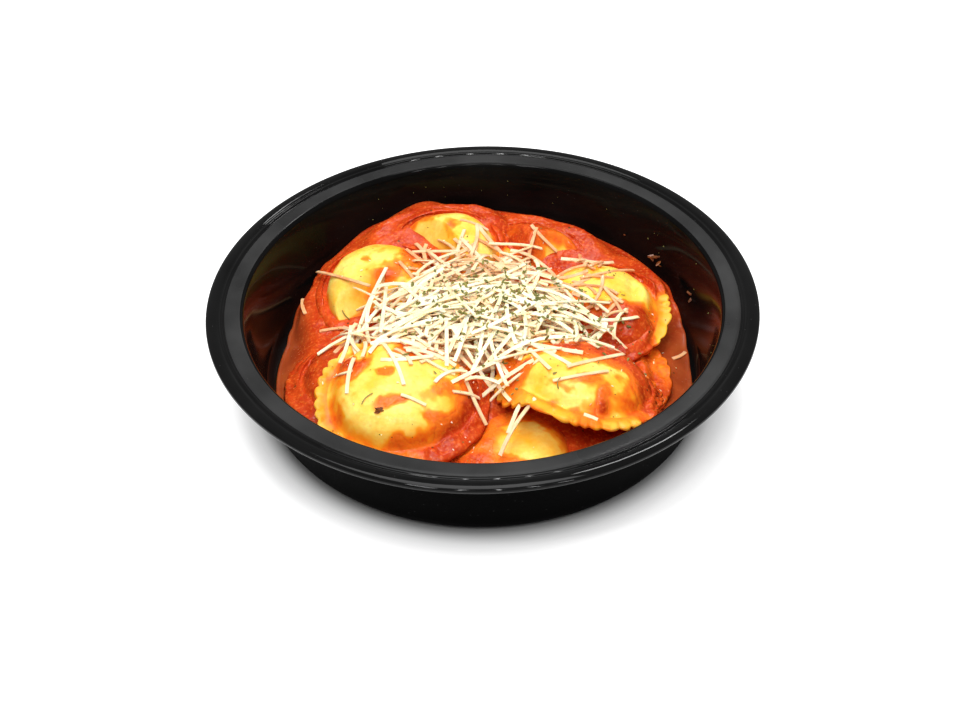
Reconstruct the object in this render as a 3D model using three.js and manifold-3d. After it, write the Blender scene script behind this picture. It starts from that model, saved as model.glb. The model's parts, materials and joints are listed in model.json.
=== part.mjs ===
// Ravioli in tomato sauce in a round black take-away bowl, under a heap of shredded hard
// cheese with flakes of dried parsley. Millimetres, +Z up. The origin is the middle of the
// bowl's flat underside, and -Y is the side that the diner faces.

import * as THREE from "three";
import { mergeVertices } from "three/addons/utils/BufferGeometryUtils.js";
import Module from "manifold-3d";

const wasm = await Module();
wasm.setup();

// ---------------------------------------------------------------- driving dimensions

const CLEARANCE = 0.3; // gap kept between neighbouring pieces
const CUT_CLEARANCE = 0.6; // growth of the coarser shapes that cut a raviolo's seat

// Bowl: a thermoformed shell, flat floor, nearly upright wall, ledge and rolled rim.
const LEDGE_HEIGHT = 36; // table to the flat ledge
const RIM_RADIUS = 92; // outer lip
const RIM_CREST = 0.4; // bead above the ledge
const SKIRT_DROP = 1.6; // outer lip below the ledge
const SHELL = 0.9; // wall thickness
const MOUTH_RADIUS = 79.3; // inside of the wall just under the ledge
const FOOT_RADIUS = 75; // inside of the wall where the floor's corner starts
const CORNER = 6; // inner corner between floor and wall
const BOWL_STEPS = 48;

// Pasta: round ravioli with a crimped edge round a domed filling.
const RIM_THICKNESS = 2;
const SCALLOPS = 34;
const SCALLOP_DEPTH = 1.1;

// Cheese: thin flat shreds, and flakes of parsley.
const SHRED_WIDTH = 1.4;
const SHRED_THICKNESS = 0.9;
const FLAKE_LENGTH = 2.4;
const FLAKE_WIDTH = 1.3;
const FLAKE_THICKNESS = 0.4;

const PROBE_CELL = 0.5; // spacing of the grid that finds what a shred lands on

// Each raviolo: middle of its rim's plane, lean in degrees and the compass direction that
// its face leans to (degrees from +X), radius of the rim, radius and height of the dome.
// The first ones lie on top.
const RAVIOLI = [
  { name: "ravioli_front_left", at: [-27, -31, 18], lean: 10, to: -78, rim: 28.9, dome: 22.3, height: 13 },
  { name: "ravioli_front_right", at: [31, -26.5, 19.5], lean: 18, to: 45, rim: 28.5, dome: 21.5, height: 11 },
  { name: "ravioli_left", at: [-39.5, -12, 9], lean: 6, to: 150, rim: 27.5, dome: 21, height: 10.5 },
  { name: "ravioli_back_left", at: [-36.5, 33, 12], lean: 10, to: 225, rim: 26, dome: 20, height: 13 },
  { name: "ravioli_right", at: [39, 20.5, 10], lean: 7, to: 200, rim: 28, dome: 21.5, height: 12 },
  { name: "ravioli_back", at: [-13, 49.5, 15.5], lean: 12, to: -75, rim: 24.5, dome: 18.5, height: 11.5 },
  { name: "ravioli_back_right", at: [17, 48, 12], lean: 10, to: -100, rim: 24, dome: 18, height: 10 },
  { name: "ravioli_front", at: [7, -45, 5], lean: 3, to: 90, rim: 27.5, dome: 20.5, height: 10 },
  { name: "ravioli_right_under", at: [36, -8, 5.5], lean: 0, to: 0, rim: 28.5, dome: 21.5, height: 9 },
];

// Sauce: it stands higher against some stretches of the wall. Each row is a compass
// direction, the height at the wall and the height a fifth of the way in.
const SAUCE_MIDDLE = 17;
const SAUCE_SHORE = [
  [0, 2.6, 5],
  [16, 3, 5],
  [28, 11, 9],
  [50, 12.5, 11],
  [75, 15.5, 13],
  [93, 17, 16],
  [106, 22.5, 17],
  [120, 18.5, 16],
  [138, 13, 13],
  [150, 6, 11],
  [165, 2.2, 9],
  [190, 2.2, 8],
  [205, 3, 8],
  [225, 9, 10],
  [250, 12, 11],
  [275, 12, 10],
  [300, 9, 8],
  [330, 5, 6],
];

// Cheese heap: middle, half sizes, and how thick the packed core is in the middle and at
// its edge.
const HEAP_AT = [-2, 1];
const HEAP_HALF = [36, 26];
const HEAP_THICKNESS = 11;
const HEAP_EDGE = 1.6;
const HEAP_DEPTH = 4; // how far the core may reach down between the ravioli, below the sauce
const HEAP_TOP = 31.5; // the packed core stays below this height
const HEAP_LUMP = 0.4; // how far neighbouring points of the core differ in height
const BRIDGED_GAP = 4; // the core spans hollows in the food about this wide
const SHRED_SPREAD = 1.4; // how far out the loose shreds lie, in heap half sizes
const FANNED_FROM = 0.8; // shreds farther out than this point away from the middle
const SHRED_COUNT = 40;
const SHRED_LENGTHS = [28, 12]; // longest and shortest
const SHRED_SPLAY = 110; // degrees that the outer shreds vary about pointing outwards
const SHRED_BOW = 4; // widest spread of the sideways bow of the bent shreds
const SHRED_SINK = 0.55; // share of its thickness that a shred sinks into the heap
const LEAST_HOLD = 0.3; // cubic millimetres by which the heap must hold a shred
const SHRED_TOP = 35; // no shred rises above this height
const FLAKE_COUNT = 14;
const FLAKE_SPREAD = 0.95;
const FLAKE_SIZES = [0.7, 1.3]; // smallest and largest, against the usual flake
const FLAKE_SINK = 0.2;
const FLAKE_BEND = 0.25; // rise of a flake's sides against their distance from its middle
const GOLDEN_TURN = 137.508; // degrees between neighbours in a sunflower
const SCATTER_SEED = 7;

// Shreds that lie alone on the pasta: host, middle, compass direction and length.
const STRAY_SHREDS = [
  { host: "ravioli_front_left", at: [-43, -31.5], to: 81, length: 12 },
  { host: "ravioli_front_left", at: [-28, -34], to: 110, length: 14 },
  { host: "ravioli_front_left", at: [-22.5, -43], to: 160, length: 8.5 },
  { host: "ravioli_front_right", at: [31, -36.5], to: 16, length: 18.5 },
  { host: "ravioli_front_right", at: [40, -26], to: 37, length: 14 },
];

// ---------------------------------------------------------------- solids and booleans

function bufferGeometry(points, faces) {
  const geometry = new THREE.BufferGeometry();
  const flat = points.flatMap((p) => [p.x, p.y, p.z]);
  geometry.setAttribute("position", new THREE.Float32BufferAttribute(flat, 3));
  geometry.setIndex(faces);
  return geometry;
}

function toSolid(geometry) {
  const bare = geometry.clone();
  bare.deleteAttribute("normal");
  bare.deleteAttribute("uv");
  const merged = mergeVertices(bare);
  return new wasm.Manifold(
    new wasm.Mesh({
      numProp: 3,
      vertProperties: new Float32Array(merged.attributes.position.array),
      triVerts: new Uint32Array(merged.index.array),
    }),
  );
}

function toGeometry(solid) {
  const mesh = solid.getMesh();
  const geometry = new THREE.BufferGeometry();
  geometry.setAttribute("position", new THREE.Float32BufferAttribute(mesh.vertProperties, 3));
  geometry.setIndex(Array.from(mesh.triVerts));
  return geometry;
}

// The largest connected body of a solid; loose scraps are dropped.
function largestBody(solid) {
  return solid.decompose().reduce((best, body) => (body.volume() > best.volume() ? body : best));
}

function subtractAll(solid, tools) {
  return tools.reduce((left, tool) => left.subtract(tool), solid);
}

// Triangles between two rings of points that run the same way round.
function stitch(faces, lower, lowerCount, upper, upperCount) {
  let i = 0;
  let j = 0;
  const iEnd = lowerCount === 1 ? 0 : lowerCount;
  const jEnd = upperCount === 1 ? 0 : upperCount;
  while (i < iEnd || j < jEnd) {
    const a = lower + (i % lowerCount);
    const b = upper + (j % upperCount);
    const stepLower = j >= jEnd || (i < iEnd && (i + 1) / iEnd <= (j + 1) / jEnd);
    if (stepLower) {
      i += 1;
      faces.push(a, lower + (i % lowerCount), b);
    } else {
      j += 1;
      faces.push(b, a, upper + (j % upperCount));
    }
  }
}

// A closed skin over a stack of rings, from a bottom pole to a top pole.
function skin(rings) {
  const faces = [];
  let start = 0;
  for (let k = 0; k + 1 < rings.length; k += 1) {
    const next = start + rings[k].length;
    stitch(faces, start, rings[k].length, next, rings[k + 1].length);
    start = next;
  }
  return bufferGeometry(rings.flat(), faces);
}

// ---------------------------------------------------------------- small helpers

const radians = THREE.MathUtils.degToRad;
const lerp = THREE.MathUtils.lerp;
const smoothstep = THREE.MathUtils.smoothstep;

// A repeatable stream of numbers from 0 to 1.
function randomStream(seed) {
  let state = seed;
  return () => {
    state = (state * 1664525 + 1013904223) % 4294967296;
    return state / 4294967296;
  };
}

// Points round a circle, each made by a function of its angle.
function around(count, pointAt) {
  return Array.from({ length: count }, (_, i) => pointAt((i / count) * 2 * Math.PI, i));
}

function arc(centreX, centreY, radius, fromDegrees, toDegrees, steps) {
  return Array.from({ length: steps + 1 }, (_, i) => {
    const angle = radians(lerp(fromDegrees, toDegrees, i / steps));
    return [centreX + radius * Math.cos(angle), centreY + radius * Math.sin(angle)];
  });
}

// ---------------------------------------------------------------- bowl

// Inside radius of the bowl at a height, outside its rounded corner.
function wallRadius(z) {
  const floorTop = SHELL + CORNER;
  const rise = (z - floorTop) / (LEDGE_HEIGHT - floorTop);
  return FOOT_RADIUS + (MOUTH_RADIUS - FOOT_RADIUS) * rise;
}

// Inside radius with the rounded corner, and kept clear of the shell by a gap.
function insideRadius(z, gap) {
  const up = z - SHELL - gap;
  if (up >= CORNER) {
    return wallRadius(z) - gap;
  }
  const drop = CORNER - Math.max(up, 0);
  return FOOT_RADIUS - gap - CORNER + Math.sqrt(CORNER * CORNER - drop * drop);
}

function makeBowl() {
  const outerFoot = FOOT_RADIUS + SHELL;
  const outerCorner = CORNER + SHELL;
  const ledgeInner = MOUTH_RADIUS + 1.9;
  const ledgeOuter = RIM_RADIUS - 6.7;
  const beadInner = RIM_RADIUS - 6;
  const skirt = LEDGE_HEIGHT - SKIRT_DROP;
  const crest = LEDGE_HEIGHT + RIM_CREST;
  const profile = [
    [0, 0],
    ...arc(outerFoot - outerCorner, outerCorner, outerCorner, -90, 0, 3),
    [MOUTH_RADIUS + SHELL, LEDGE_HEIGHT - 2.6],
    [ledgeInner, LEDGE_HEIGHT - SHELL],
    [beadInner, LEDGE_HEIGHT - SHELL],
    [RIM_RADIUS - 1.1, LEDGE_HEIGHT - SHELL],
    [RIM_RADIUS - SHELL, skirt],
    [RIM_RADIUS - 0.1, skirt],
    [RIM_RADIUS, LEDGE_HEIGHT - 0.4],
    [RIM_RADIUS - 0.7, LEDGE_HEIGHT + 0.1],
    [RIM_RADIUS - 2.6, crest],
    [RIM_RADIUS - 4.4, crest - 0.1],
    [beadInner, LEDGE_HEIGHT - 0.15],
    [ledgeOuter, LEDGE_HEIGHT],
    [ledgeInner, LEDGE_HEIGHT],
    [MOUTH_RADIUS + 0.7, LEDGE_HEIGHT - 0.5],
    [MOUTH_RADIUS - 0.1, LEDGE_HEIGHT - 1.8],
    ...arc(FOOT_RADIUS - CORNER, SHELL + CORNER, CORNER, 0, -90, 3),
    [0, SHELL],
  ];
  const outline = profile.map(([r, z]) => new THREE.Vector2(r, z));
  const lathe = new THREE.LatheGeometry(outline, BOWL_STEPS);
  lathe.rotateX(Math.PI / 2);
  return toSolid(lathe);
}

// ---------------------------------------------------------------- ravioli

// Where a raviolo stands: a matrix from its own frame, whose XY plane is its rim's middle.
function placement({ at, lean, to }) {
  const axis = new THREE.Vector3(-Math.sin(radians(to)), Math.cos(radians(to)), 0);
  return new THREE.Matrix4().makeRotationAxis(axis, radians(lean)).setPosition(...at);
}

// A raviolo: a flat crimped rim round a dome, slightly bellied below. With grow above 0 it
// is a plain and coarser shape that encloses the raviolo by that much.
function makeRaviolo(spec, index, grow = 0) {
  const { rim, dome, height } = spec;
  const half = RIM_THICKNESS / 2;
  const perScallop = index < 2 ? 3 : 2;
  const rimCount = grow ? 22 : SCALLOPS * perScallop;
  const domeCounts = grow ? [18, 16, 12, 8] : [30, 26, 18, 10];
  const polygon = (count) => (grow ? 1 / Math.cos(Math.PI / count) : 1);
  const wobble = (angle) =>
    1 + 0.03 * Math.cos(2 * angle + index) + 0.02 * Math.cos(3 * angle + 2 * index);
  const wave = (angle) =>
    0.7 * Math.sin(3 * angle + 1.7 * index) + 0.2 * Math.sin(5 * angle + index);
  const rimRadius = (i) => {
    const part = (i % perScallop) / perScallop;
    return grow ? rim : rim - SCALLOP_DEPTH * (1 - Math.sin(Math.PI * part));
  };
  const ring = (count, radiusAt, zAt) =>
    around(count, (angle, i) => {
      const r = (radiusAt(angle, i) + grow) * polygon(count);
      return new THREE.Vector3(r * Math.cos(angle), r * Math.sin(angle), zAt(angle));
    });
  const domeRing = (count, tilt) =>
    ring(
      count,
      (angle) => dome * wobble(angle) * Math.cos(radians(tilt)) ** 0.75,
      () => half + grow + (height - half) * Math.sin(radians(tilt)),
    );
  const belly = [
    ring(12, () => dome * 0.6, () => -1.9 * half),
    ring(18, () => dome, () => -1.3 * half),
  ];
  const rings = [
    [new THREE.Vector3(0, 0, (grow ? -2.8 : -2.2) * half - grow)],
    ...(grow ? [] : belly),
    ring(rimCount, (_, i) => rimRadius(i), (angle) => wave(angle) - half - grow),
    ring(rimCount, (_, i) => rimRadius(i) - 0.3, (angle) => wave(angle) + half + grow),
    domeRing(domeCounts[0], 4),
    domeRing(domeCounts[1], 28),
    domeRing(domeCounts[2], 50),
    domeRing(domeCounts[3], 71),
    [new THREE.Vector3(0, 0, height + grow)],
  ];
  return toSolid(skin(rings).applyMatrix4(placement(spec)));
}

// ---------------------------------------------------------------- sauce

// Height at the wall and a fifth of the way in, for a compass direction in degrees.
function shoreAt(degrees) {
  const turn = ((degrees % 360) + 360) % 360;
  const found = SAUCE_SHORE.findIndex((row) => row[0] > turn);
  const after = found === -1 ? 0 : found;
  const [fromTurn, fromWall, fromShelf] = SAUCE_SHORE.at(after - 1);
  const [toTurn, toWall, toShelf] = SAUCE_SHORE[after];
  const span = (toTurn - fromTurn + 360) % 360;
  const share = smoothstep((turn - fromTurn) / span, 0, 1);
  return { wall: lerp(fromWall, toWall, share), shelf: lerp(fromShelf, toShelf, share) };
}

function sauceHeight(angle, part) {
  const { wall, shelf } = shoreAt(THREE.MathUtils.radToDeg(angle));
  const ripple = 0.4 * Math.sin(9 * angle + 6 * part) * Math.sin(Math.PI * part);
  if (part > 0.8) {
    return lerp(shelf, wall, smoothstep((part - 0.8) / 0.2, 0, 1)) + ripple;
  }
  return lerp(SAUCE_MIDDLE, shelf, smoothstep(part, 0.25, 0.8)) + ripple;
}

// The sauce fills the bowl up to its uneven surface. With lift above 0 the surface is
// raised by that much.
function makeSauceBody(lift = 0) {
  const steps = 36;
  const floor = SHELL + CLEARANCE;
  const surfaceRing = (part) =>
    around(steps, (angle) => {
      const z = sauceHeight(angle, part) + lift;
      const r = insideRadius(sauceHeight(angle, 1), CLEARANCE) * part;
      return new THREE.Vector3(r * Math.cos(angle), r * Math.sin(angle), z);
    });
  const wallRing = (share) =>
    around(steps, (angle) => {
      const z = lerp(floor, sauceHeight(angle, 1), share);
      const r = insideRadius(z, CLEARANCE);
      return new THREE.Vector3(r * Math.cos(angle), r * Math.sin(angle), z);
    });
  const rings = [
    [new THREE.Vector3(0, 0, floor)],
    wallRing(0),
    wallRing(0.12),
    wallRing(0.35),
    surfaceRing(1),
    surfaceRing(0.9),
    surfaceRing(0.78),
    surfaceRing(0.55),
    surfaceRing(0.3),
    [new THREE.Vector3(0, 0, SAUCE_MIDDLE + lift)],
  ];
  return toSolid(skin(rings));
}

// ---------------------------------------------------------------- cheese

// Height of the highest of some solids over a point, from a fine grid laid over them.
function heightProbe(solids) {
  const columns = Math.round((2 * RIM_RADIUS) / PROBE_CELL);
  const heights = new Float32Array(columns * columns);
  const toCell = (value) => Math.round((value + RIM_RADIUS) / PROBE_CELL);
  const [a, b, c, here, shares] = Array.from({ length: 5 }, () => new THREE.Vector3());
  const flatten = (corner) => new THREE.Vector3(corner.x, corner.y, 0);
  for (const solid of solids) {
    const { vertProperties, triVerts } = solid.getMesh();
    for (let t = 0; t < triVerts.length; t += 3) {
      [a, b, c].forEach((corner, k) => corner.fromArray(vertProperties, 3 * triVerts[t + k]));
      const flat = [a, b, c].map(flatten);
      const [lowX, highX] = [Math.min(a.x, b.x, c.x), Math.max(a.x, b.x, c.x)].map(toCell);
      const [lowY, highY] = [Math.min(a.y, b.y, c.y), Math.max(a.y, b.y, c.y)].map(toCell);
      for (let i = lowX; i <= highX; i += 1) {
        for (let j = lowY; j <= highY; j += 1) {
          here.set(i * PROBE_CELL - RIM_RADIUS, j * PROBE_CELL - RIM_RADIUS, 0);
          const inside = THREE.Triangle.getBarycoord(here, ...flat, shares);
          if (inside && Math.min(shares.x, shares.y, shares.z) >= -0.001) {
            const z = shares.x * a.z + shares.y * b.z + shares.z * c.z;
            const cell = i * columns + j;
            heights[cell] = Math.max(heights[cell], z);
          }
        }
      }
    }
  }
  return (x, y) => heights[toCell(x) * columns + toCell(y)];
}

// How far the heap's outline reaches in a direction, against its half sizes.
function heapReach(angle) {
  return 1 + 0.1 * Math.sin(3 * angle + 1) + 0.07 * Math.sin(5 * angle);
}

function heapPoint(angle, part) {
  const reach = heapReach(angle) * part;
  return [
    HEAP_AT[0] + HEAP_HALF[0] * reach * Math.cos(angle),
    HEAP_AT[1] + HEAP_HALF[1] * reach * Math.sin(angle),
  ];
}

// The packed middle of the heap: it lies on the food like a blanket, thickest in the
// middle, and is cut to fit by whatever it lies on.
function makeHeapCore(foodHeight, cutters) {
  const floor = SAUCE_MIDDLE - HEAP_DEPTH;
  const supportAt = (x, y) => {
    const near = around(6, (turn) =>
      foodHeight(x + BRIDGED_GAP * Math.cos(turn), y + BRIDGED_GAP * Math.sin(turn)),
    );
    const mean = near.reduce((sum, z) => sum + z, 0) / near.length;
    return Math.max(mean, foodHeight(x, y));
  };
  const topPoint = (x, y, part, lump) => {
    const thickness = lerp(HEAP_THICKNESS, HEAP_EDGE, part * part) + lump;
    const cap = Math.max(HEAP_TOP + lump, foodHeight(x, y) + HEAP_EDGE);
    return new THREE.Vector3(x, y, Math.min(supportAt(x, y) + thickness, cap));
  };
  const topRing = (count, part) =>
    around(count, (angle, i) => {
      const [x, y] = heapPoint(angle, part);
      return topPoint(x, y, part, i % 2 ? HEAP_LUMP : -HEAP_LUMP);
    });
  const bottomRing = around(28, (angle) => {
    const [x, y] = heapPoint(angle, 1);
    return new THREE.Vector3(x, y, floor);
  });
  const [middleX, middleY] = HEAP_AT;
  const rings = [
    [new THREE.Vector3(middleX, middleY, floor)],
    bottomRing,
    topRing(28, 1),
    topRing(26, 0.82),
    topRing(20, 0.6),
    topRing(14, 0.38),
    topRing(7, 0.18),
    [topPoint(middleX, middleY, 0, 0)],
  ];
  return largestBody(subtractAll(toSolid(skin(rings)), cutters));
}

// A stiff strip that comes to rest over a stretch of uneven ground: the heights of its two
// ends, found from the straight line that the ground holds up on both sides of its middle.
function restingEnds(ground) {
  const middle = (ground.length - 1) / 2;
  const slopesAhead = [];
  const slopesBehind = [];
  let best = { height: ground[middle], slope: null };
  for (let i = 0; i < middle; i += 1) {
    slopesBehind.push((ground[middle] - ground[i]) / (middle - i));
    for (let j = middle + 1; j < ground.length; j += 1) {
      const slope = (ground[j] - ground[i]) / (j - i);
      const height = ground[i] + slope * (middle - i);
      if (height > best.height) {
        best = { height, slope };
      }
    }
  }
  for (let j = middle + 1; j < ground.length; j += 1) {
    slopesAhead.push((ground[j] - ground[middle]) / (j - middle));
  }
  const balance = (Math.max(...slopesAhead) + Math.min(...slopesBehind)) / 2;
  const slope = best.slope ?? balance;
  return [best.height - slope * middle, best.height + slope * middle];
}

// A flat strip with a slight bow sideways, lying at a middle and along a direction.
function makeShred({ at, to, length, bow = 0 }, ground) {
  const along = [Math.cos(radians(to)), Math.sin(radians(to))];
  const aside = [-along[1], along[0]];
  const place = (share, off) => {
    const run = (share - 0.5) * length;
    const side = off + bow * (1 - 4 * (share - 0.5) ** 2);
    return [at[0] + run * along[0] + side * aside[0], at[1] + run * along[1] + side * aside[1]];
  };
  const stations = Array.from({ length: 9 }, (_, i) => i / 8);
  const lanes = [-0.6, 0, 0.6].map((lane) => lane * SHRED_WIDTH);
  const heights = stations.map((share) =>
    Math.max(...lanes.map((lane) => ground(...place(share, lane)))),
  );
  const [startZ, endZ] = restingEnds(heights);
  const sections = bow ? [0, 0.33, 0.67, 1] : [0, 1];
  const corners = [
    [-0.5, 0],
    [0.5, 0],
    [0.5, 1],
    [-0.5, 1],
  ];
  const rings = sections.map((share) =>
    corners.map(([acrossShare, upShare]) => {
      const [x, y] = place(share, acrossShare * SHRED_WIDTH);
      return new THREE.Vector3(x, y, lerp(startZ, endZ, share) + upShare * SHRED_THICKNESS);
    }),
  );
  const middleOf = (ring) => {
    const sum = ring.reduce((total, p) => total.add(p), new THREE.Vector3());
    return sum.divideScalar(ring.length);
  };
  return toSolid(skin([[middleOf(rings[0])], ...rings, [middleOf(rings.at(-1))]]));
}

// A dried leaf flake: a thin plate with six corners, bent along its middle.
function makeFlake(x, y, z, turn, size) {
  const outline = around(6, (angle) => [
    0.5 * FLAKE_LENGTH * size * Math.cos(angle),
    0.5 * FLAKE_WIDTH * size * Math.sin(angle) * (1 + 0.3 * Math.cos(angle)),
  ]);
  const layer = (height) =>
    outline.map(([u, v]) => {
      const east = u * Math.cos(turn) - v * Math.sin(turn);
      const north = u * Math.sin(turn) + v * Math.cos(turn);
      const up = height + FLAKE_BEND * Math.abs(v);
      return new THREE.Vector3(x + east, y + north, z + up);
    });
  const pole = (height) => [new THREE.Vector3(x, y, z + height)];
  return toSolid(skin([pole(0), layer(0), layer(FLAKE_THICKNESS), pole(FLAKE_THICKNESS)]));
}

// Loose shreds over the heap by a sunflower rule, longest first, each resting on the heap
// or bridging from it to the pasta; then the parsley. Whatever would touch the pasta or
// the sauce, or hang free, is left out.
function dressHeap(core, foodHeight, obstacles) {
  const random = randomStream(SCATTER_SEED);
  const coreHeight = heightProbe([core]);
  const sink = SHRED_SINK * SHRED_THICKNESS;
  const ground = (x, y) => Math.max(foodHeight(x, y) + CLEARANCE, coreHeight(x, y) - sink);
  let heap = core;
  for (let i = 0; i < SHRED_COUNT; i += 1) {
    const spread = SHRED_SPREAD * Math.sqrt((((i * 37) % SHRED_COUNT) + 0.5) / SHRED_COUNT);
    const turn = GOLDEN_TURN * i;
    const at = heapPoint(radians(turn), spread);
    const fanned = spread > FANNED_FROM;
    const to = fanned ? turn + (random() - 0.5) * SHRED_SPLAY : random() * 180;
    const length = lerp(SHRED_LENGTHS[0], SHRED_LENGTHS[1], i / SHRED_COUNT);
    const bow = i % 3 === 0 ? (random() - 0.5) * SHRED_BOW : 0;
    const shred = makeShred({ at, to, length, bow }, ground);
    const blocked = obstacles.some((solid) => solid.intersect(shred).volume() > 0);
    const held = heap.intersect(shred).volume() > LEAST_HOLD;
    const low = shred.boundingBox().max[2] < SHRED_TOP;
    if (!blocked && held && low) {
      heap = heap.add(shred);
    }
  }
  const heapHeight = heightProbe([heap]);
  for (let i = 0; i < FLAKE_COUNT; i += 1) {
    const spread = FLAKE_SPREAD * Math.sqrt((i + 0.5) / FLAKE_COUNT);
    const [x, y] = heapPoint(radians(GOLDEN_TURN * i + 40), spread);
    const z = heapHeight(x, y) - FLAKE_SINK;
    const size = lerp(...FLAKE_SIZES, random());
    const flake = makeFlake(x, y, z, random() * Math.PI, size);
    const blocked = obstacles.some((solid) => solid.intersect(flake).volume() > 0);
    if (!blocked) {
      heap = heap.add(flake);
    }
  }
  return largestBody(heap);
}

// ---------------------------------------------------------------- the dish

const solids = new Map();
solids.set("bowl", makeBowl());

// The pasta on top keeps its form, and what lies under it is dented by it.
const grown = RAVIOLI.map((spec, index) => makeRaviolo(spec, index, CUT_CLEARANCE));
RAVIOLI.forEach((spec, index) => {
  const whole = makeRaviolo(spec, index);
  solids.set(spec.name, largestBody(subtractAll(whole, grown.slice(0, index))));
});

solids.set("sauce", largestBody(subtractAll(makeSauceBody(), grown)));

const obstacles = [...solids.values()];
const food = [...RAVIOLI.map((spec) => solids.get(spec.name)), solids.get("sauce")];
const foodHeight = heightProbe(food);
const core = makeHeapCore(foodHeight, [...grown, makeSauceBody(CLEARANCE)]);
solids.set("cheese", dressHeap(core, foodHeight, obstacles));

for (const stray of STRAY_SHREDS) {
  const host = solids.get(stray.host);
  const hostHeight = heightProbe([host]);
  const sunk = SHRED_SINK * SHRED_THICKNESS;
  const shred = makeShred(stray, (x, y) => hostHeight(x, y) - sunk);
  solids.set(stray.host, host.add(shred));
}

// ---------------------------------------------------------------- materials and scene

const FINISHES = {
  bowl: { color: 0x0b0b0d, roughness: 0.22, metalness: 0 },
  sauce: { color: 0xc4361a, roughness: 0.3, metalness: 0 },
  cheese: { color: 0xfbe9bf, roughness: 0.55, metalness: 0 },
  ravioli: { color: 0xeeb24a, roughness: 0.4, metalness: 0 },
};

const dish = new THREE.Group();
for (const [name, solid] of solids) {
  const material = new THREE.MeshStandardMaterial(FINISHES[name.split("_")[0]]);
  const mesh = new THREE.Mesh(toGeometry(solid), material);
  mesh.name = name;
  dish.add(mesh);
}

export default dish;
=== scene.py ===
# %% [markdown]
# # Ravioli in a black take-away bowl
# Round ravioli lie in tomato sauce under a heap of shredded hard cheese and dried parsley.
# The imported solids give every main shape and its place. This lesson dresses each of them:
# it rebuilds the food finely over the same named sizes, and gives every surface a finish
# made of nodes. The frame is loaded first, because everything else is measured against it.

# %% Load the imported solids
import json
import math

import bpy
import numpy as np
from mathutils import Matrix, Vector

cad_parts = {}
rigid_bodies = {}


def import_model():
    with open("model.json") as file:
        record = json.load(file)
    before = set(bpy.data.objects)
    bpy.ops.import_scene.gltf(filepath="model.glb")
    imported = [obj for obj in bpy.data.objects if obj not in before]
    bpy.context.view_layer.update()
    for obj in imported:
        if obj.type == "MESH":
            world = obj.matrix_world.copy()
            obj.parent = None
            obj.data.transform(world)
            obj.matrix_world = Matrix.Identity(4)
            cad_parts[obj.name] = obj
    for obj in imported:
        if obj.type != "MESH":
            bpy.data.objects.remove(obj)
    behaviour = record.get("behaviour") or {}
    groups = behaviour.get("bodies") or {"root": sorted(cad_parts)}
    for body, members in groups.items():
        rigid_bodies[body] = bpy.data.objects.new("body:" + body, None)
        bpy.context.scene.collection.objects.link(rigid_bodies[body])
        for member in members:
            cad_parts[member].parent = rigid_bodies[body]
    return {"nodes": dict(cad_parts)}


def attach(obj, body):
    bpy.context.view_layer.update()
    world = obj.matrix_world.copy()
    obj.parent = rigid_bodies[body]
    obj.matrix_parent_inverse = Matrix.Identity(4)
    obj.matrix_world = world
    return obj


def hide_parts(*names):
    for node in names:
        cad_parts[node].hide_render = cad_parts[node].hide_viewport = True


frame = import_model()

MM = 0.001
TAU = 2 * math.pi
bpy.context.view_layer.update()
print("solids:", sorted(frame["nodes"]))

# %% [markdown]
# ## Camera
# A person at the table looks down on the dish. A long lens a little over half a metre away
# shows the round rim as a calm ellipse, with no swelling of what is near. The camera is made
# from three directions, because a small roll is easier to state that way than as angles.

# %% Camera
CAMERA_AT = Vector((0.0, -0.43305, 0.37507))
LOOK_AT = Vector((-0.00116, 0.0, 0.008))
CAMERA_ROLL = math.radians(-1.22)
SENSOR_WIDTH, FOCAL_LENGTH = 36, 61.71  # millimetres

forward = (LOOK_AT - CAMERA_AT).normalized()
level_right = forward.cross(Vector((0, 0, 1))).normalized()
level_up = level_right.cross(forward)
right = math.cos(CAMERA_ROLL) * level_right + math.sin(CAMERA_ROLL) * level_up
up = math.cos(CAMERA_ROLL) * level_up - math.sin(CAMERA_ROLL) * level_right
camera_data = bpy.data.cameras.new("camera")
camera_data.sensor_width = SENSOR_WIDTH
camera_data.lens = FOCAL_LENGTH
camera_data.clip_start = 0.01
camera = bpy.data.objects.new("camera", camera_data)
camera.matrix_world = Matrix((right, up, -forward)).transposed().to_4x4()
camera.location = CAMERA_AT
bpy.context.scene.collection.objects.link(camera)
bpy.context.scene.camera = camera
print("camera looks down", round(math.degrees(math.asin(-forward.z)), 1), "degrees")

# %% [markdown]
# ## Helpers for smooth steps and soft noise
# Food has no straight line in it. A few helpers serve every shape below: a step that eases in
# and out, and a noise that gives smooth random values over points in space. A third adds up
# layers of that noise. All work on whole arrays of points, which is quick, and the noise is
# seeded, so that each run is alike.

# %% Smooth steps and soft noise
TABLE_SIDE = 32  # random values along each side of the noise's table, which then repeats
CLEAR_OF_ZERO = 200.0  # shift that keeps the cells' numbers above zero


def ease(value, low, high):
    """Goes smoothly from 0 at low to 1 at high, and stays level outside them."""
    share = np.clip((value - low) / (high - low), 0, 1)
    return share * share * (3 - 2 * share)


def soft_noise(points, size, seed):
    """Smooth random values from -1 to 1. Bumps are about size millimetres apart."""
    table = np.random.default_rng(seed).uniform(-1, 1, (TABLE_SIDE,) * 3)
    place = np.asarray(points, float) / size + CLEAR_OF_ZERO
    cell = np.floor(place).astype(int)
    part = place - cell
    part = part * part * (3 - 2 * part)
    total = np.zeros(place.shape[:-1])
    for corner in range(8):
        step = np.array([corner & 1, corner >> 1 & 1, corner >> 2 & 1])
        weight = np.prod(np.where(step == 1, part, 1 - part), axis=-1)
        at = (cell + step) % TABLE_SIDE
        total += weight * table[at[..., 0], at[..., 1], at[..., 2]]
    return total


def lumps_of(points, *layers):
    """Layers of soft noise added up. Each layer is a strength, a size and a seed."""
    return sum(strength * soft_noise(points, size, seed) for strength, size, seed in layers)


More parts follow.
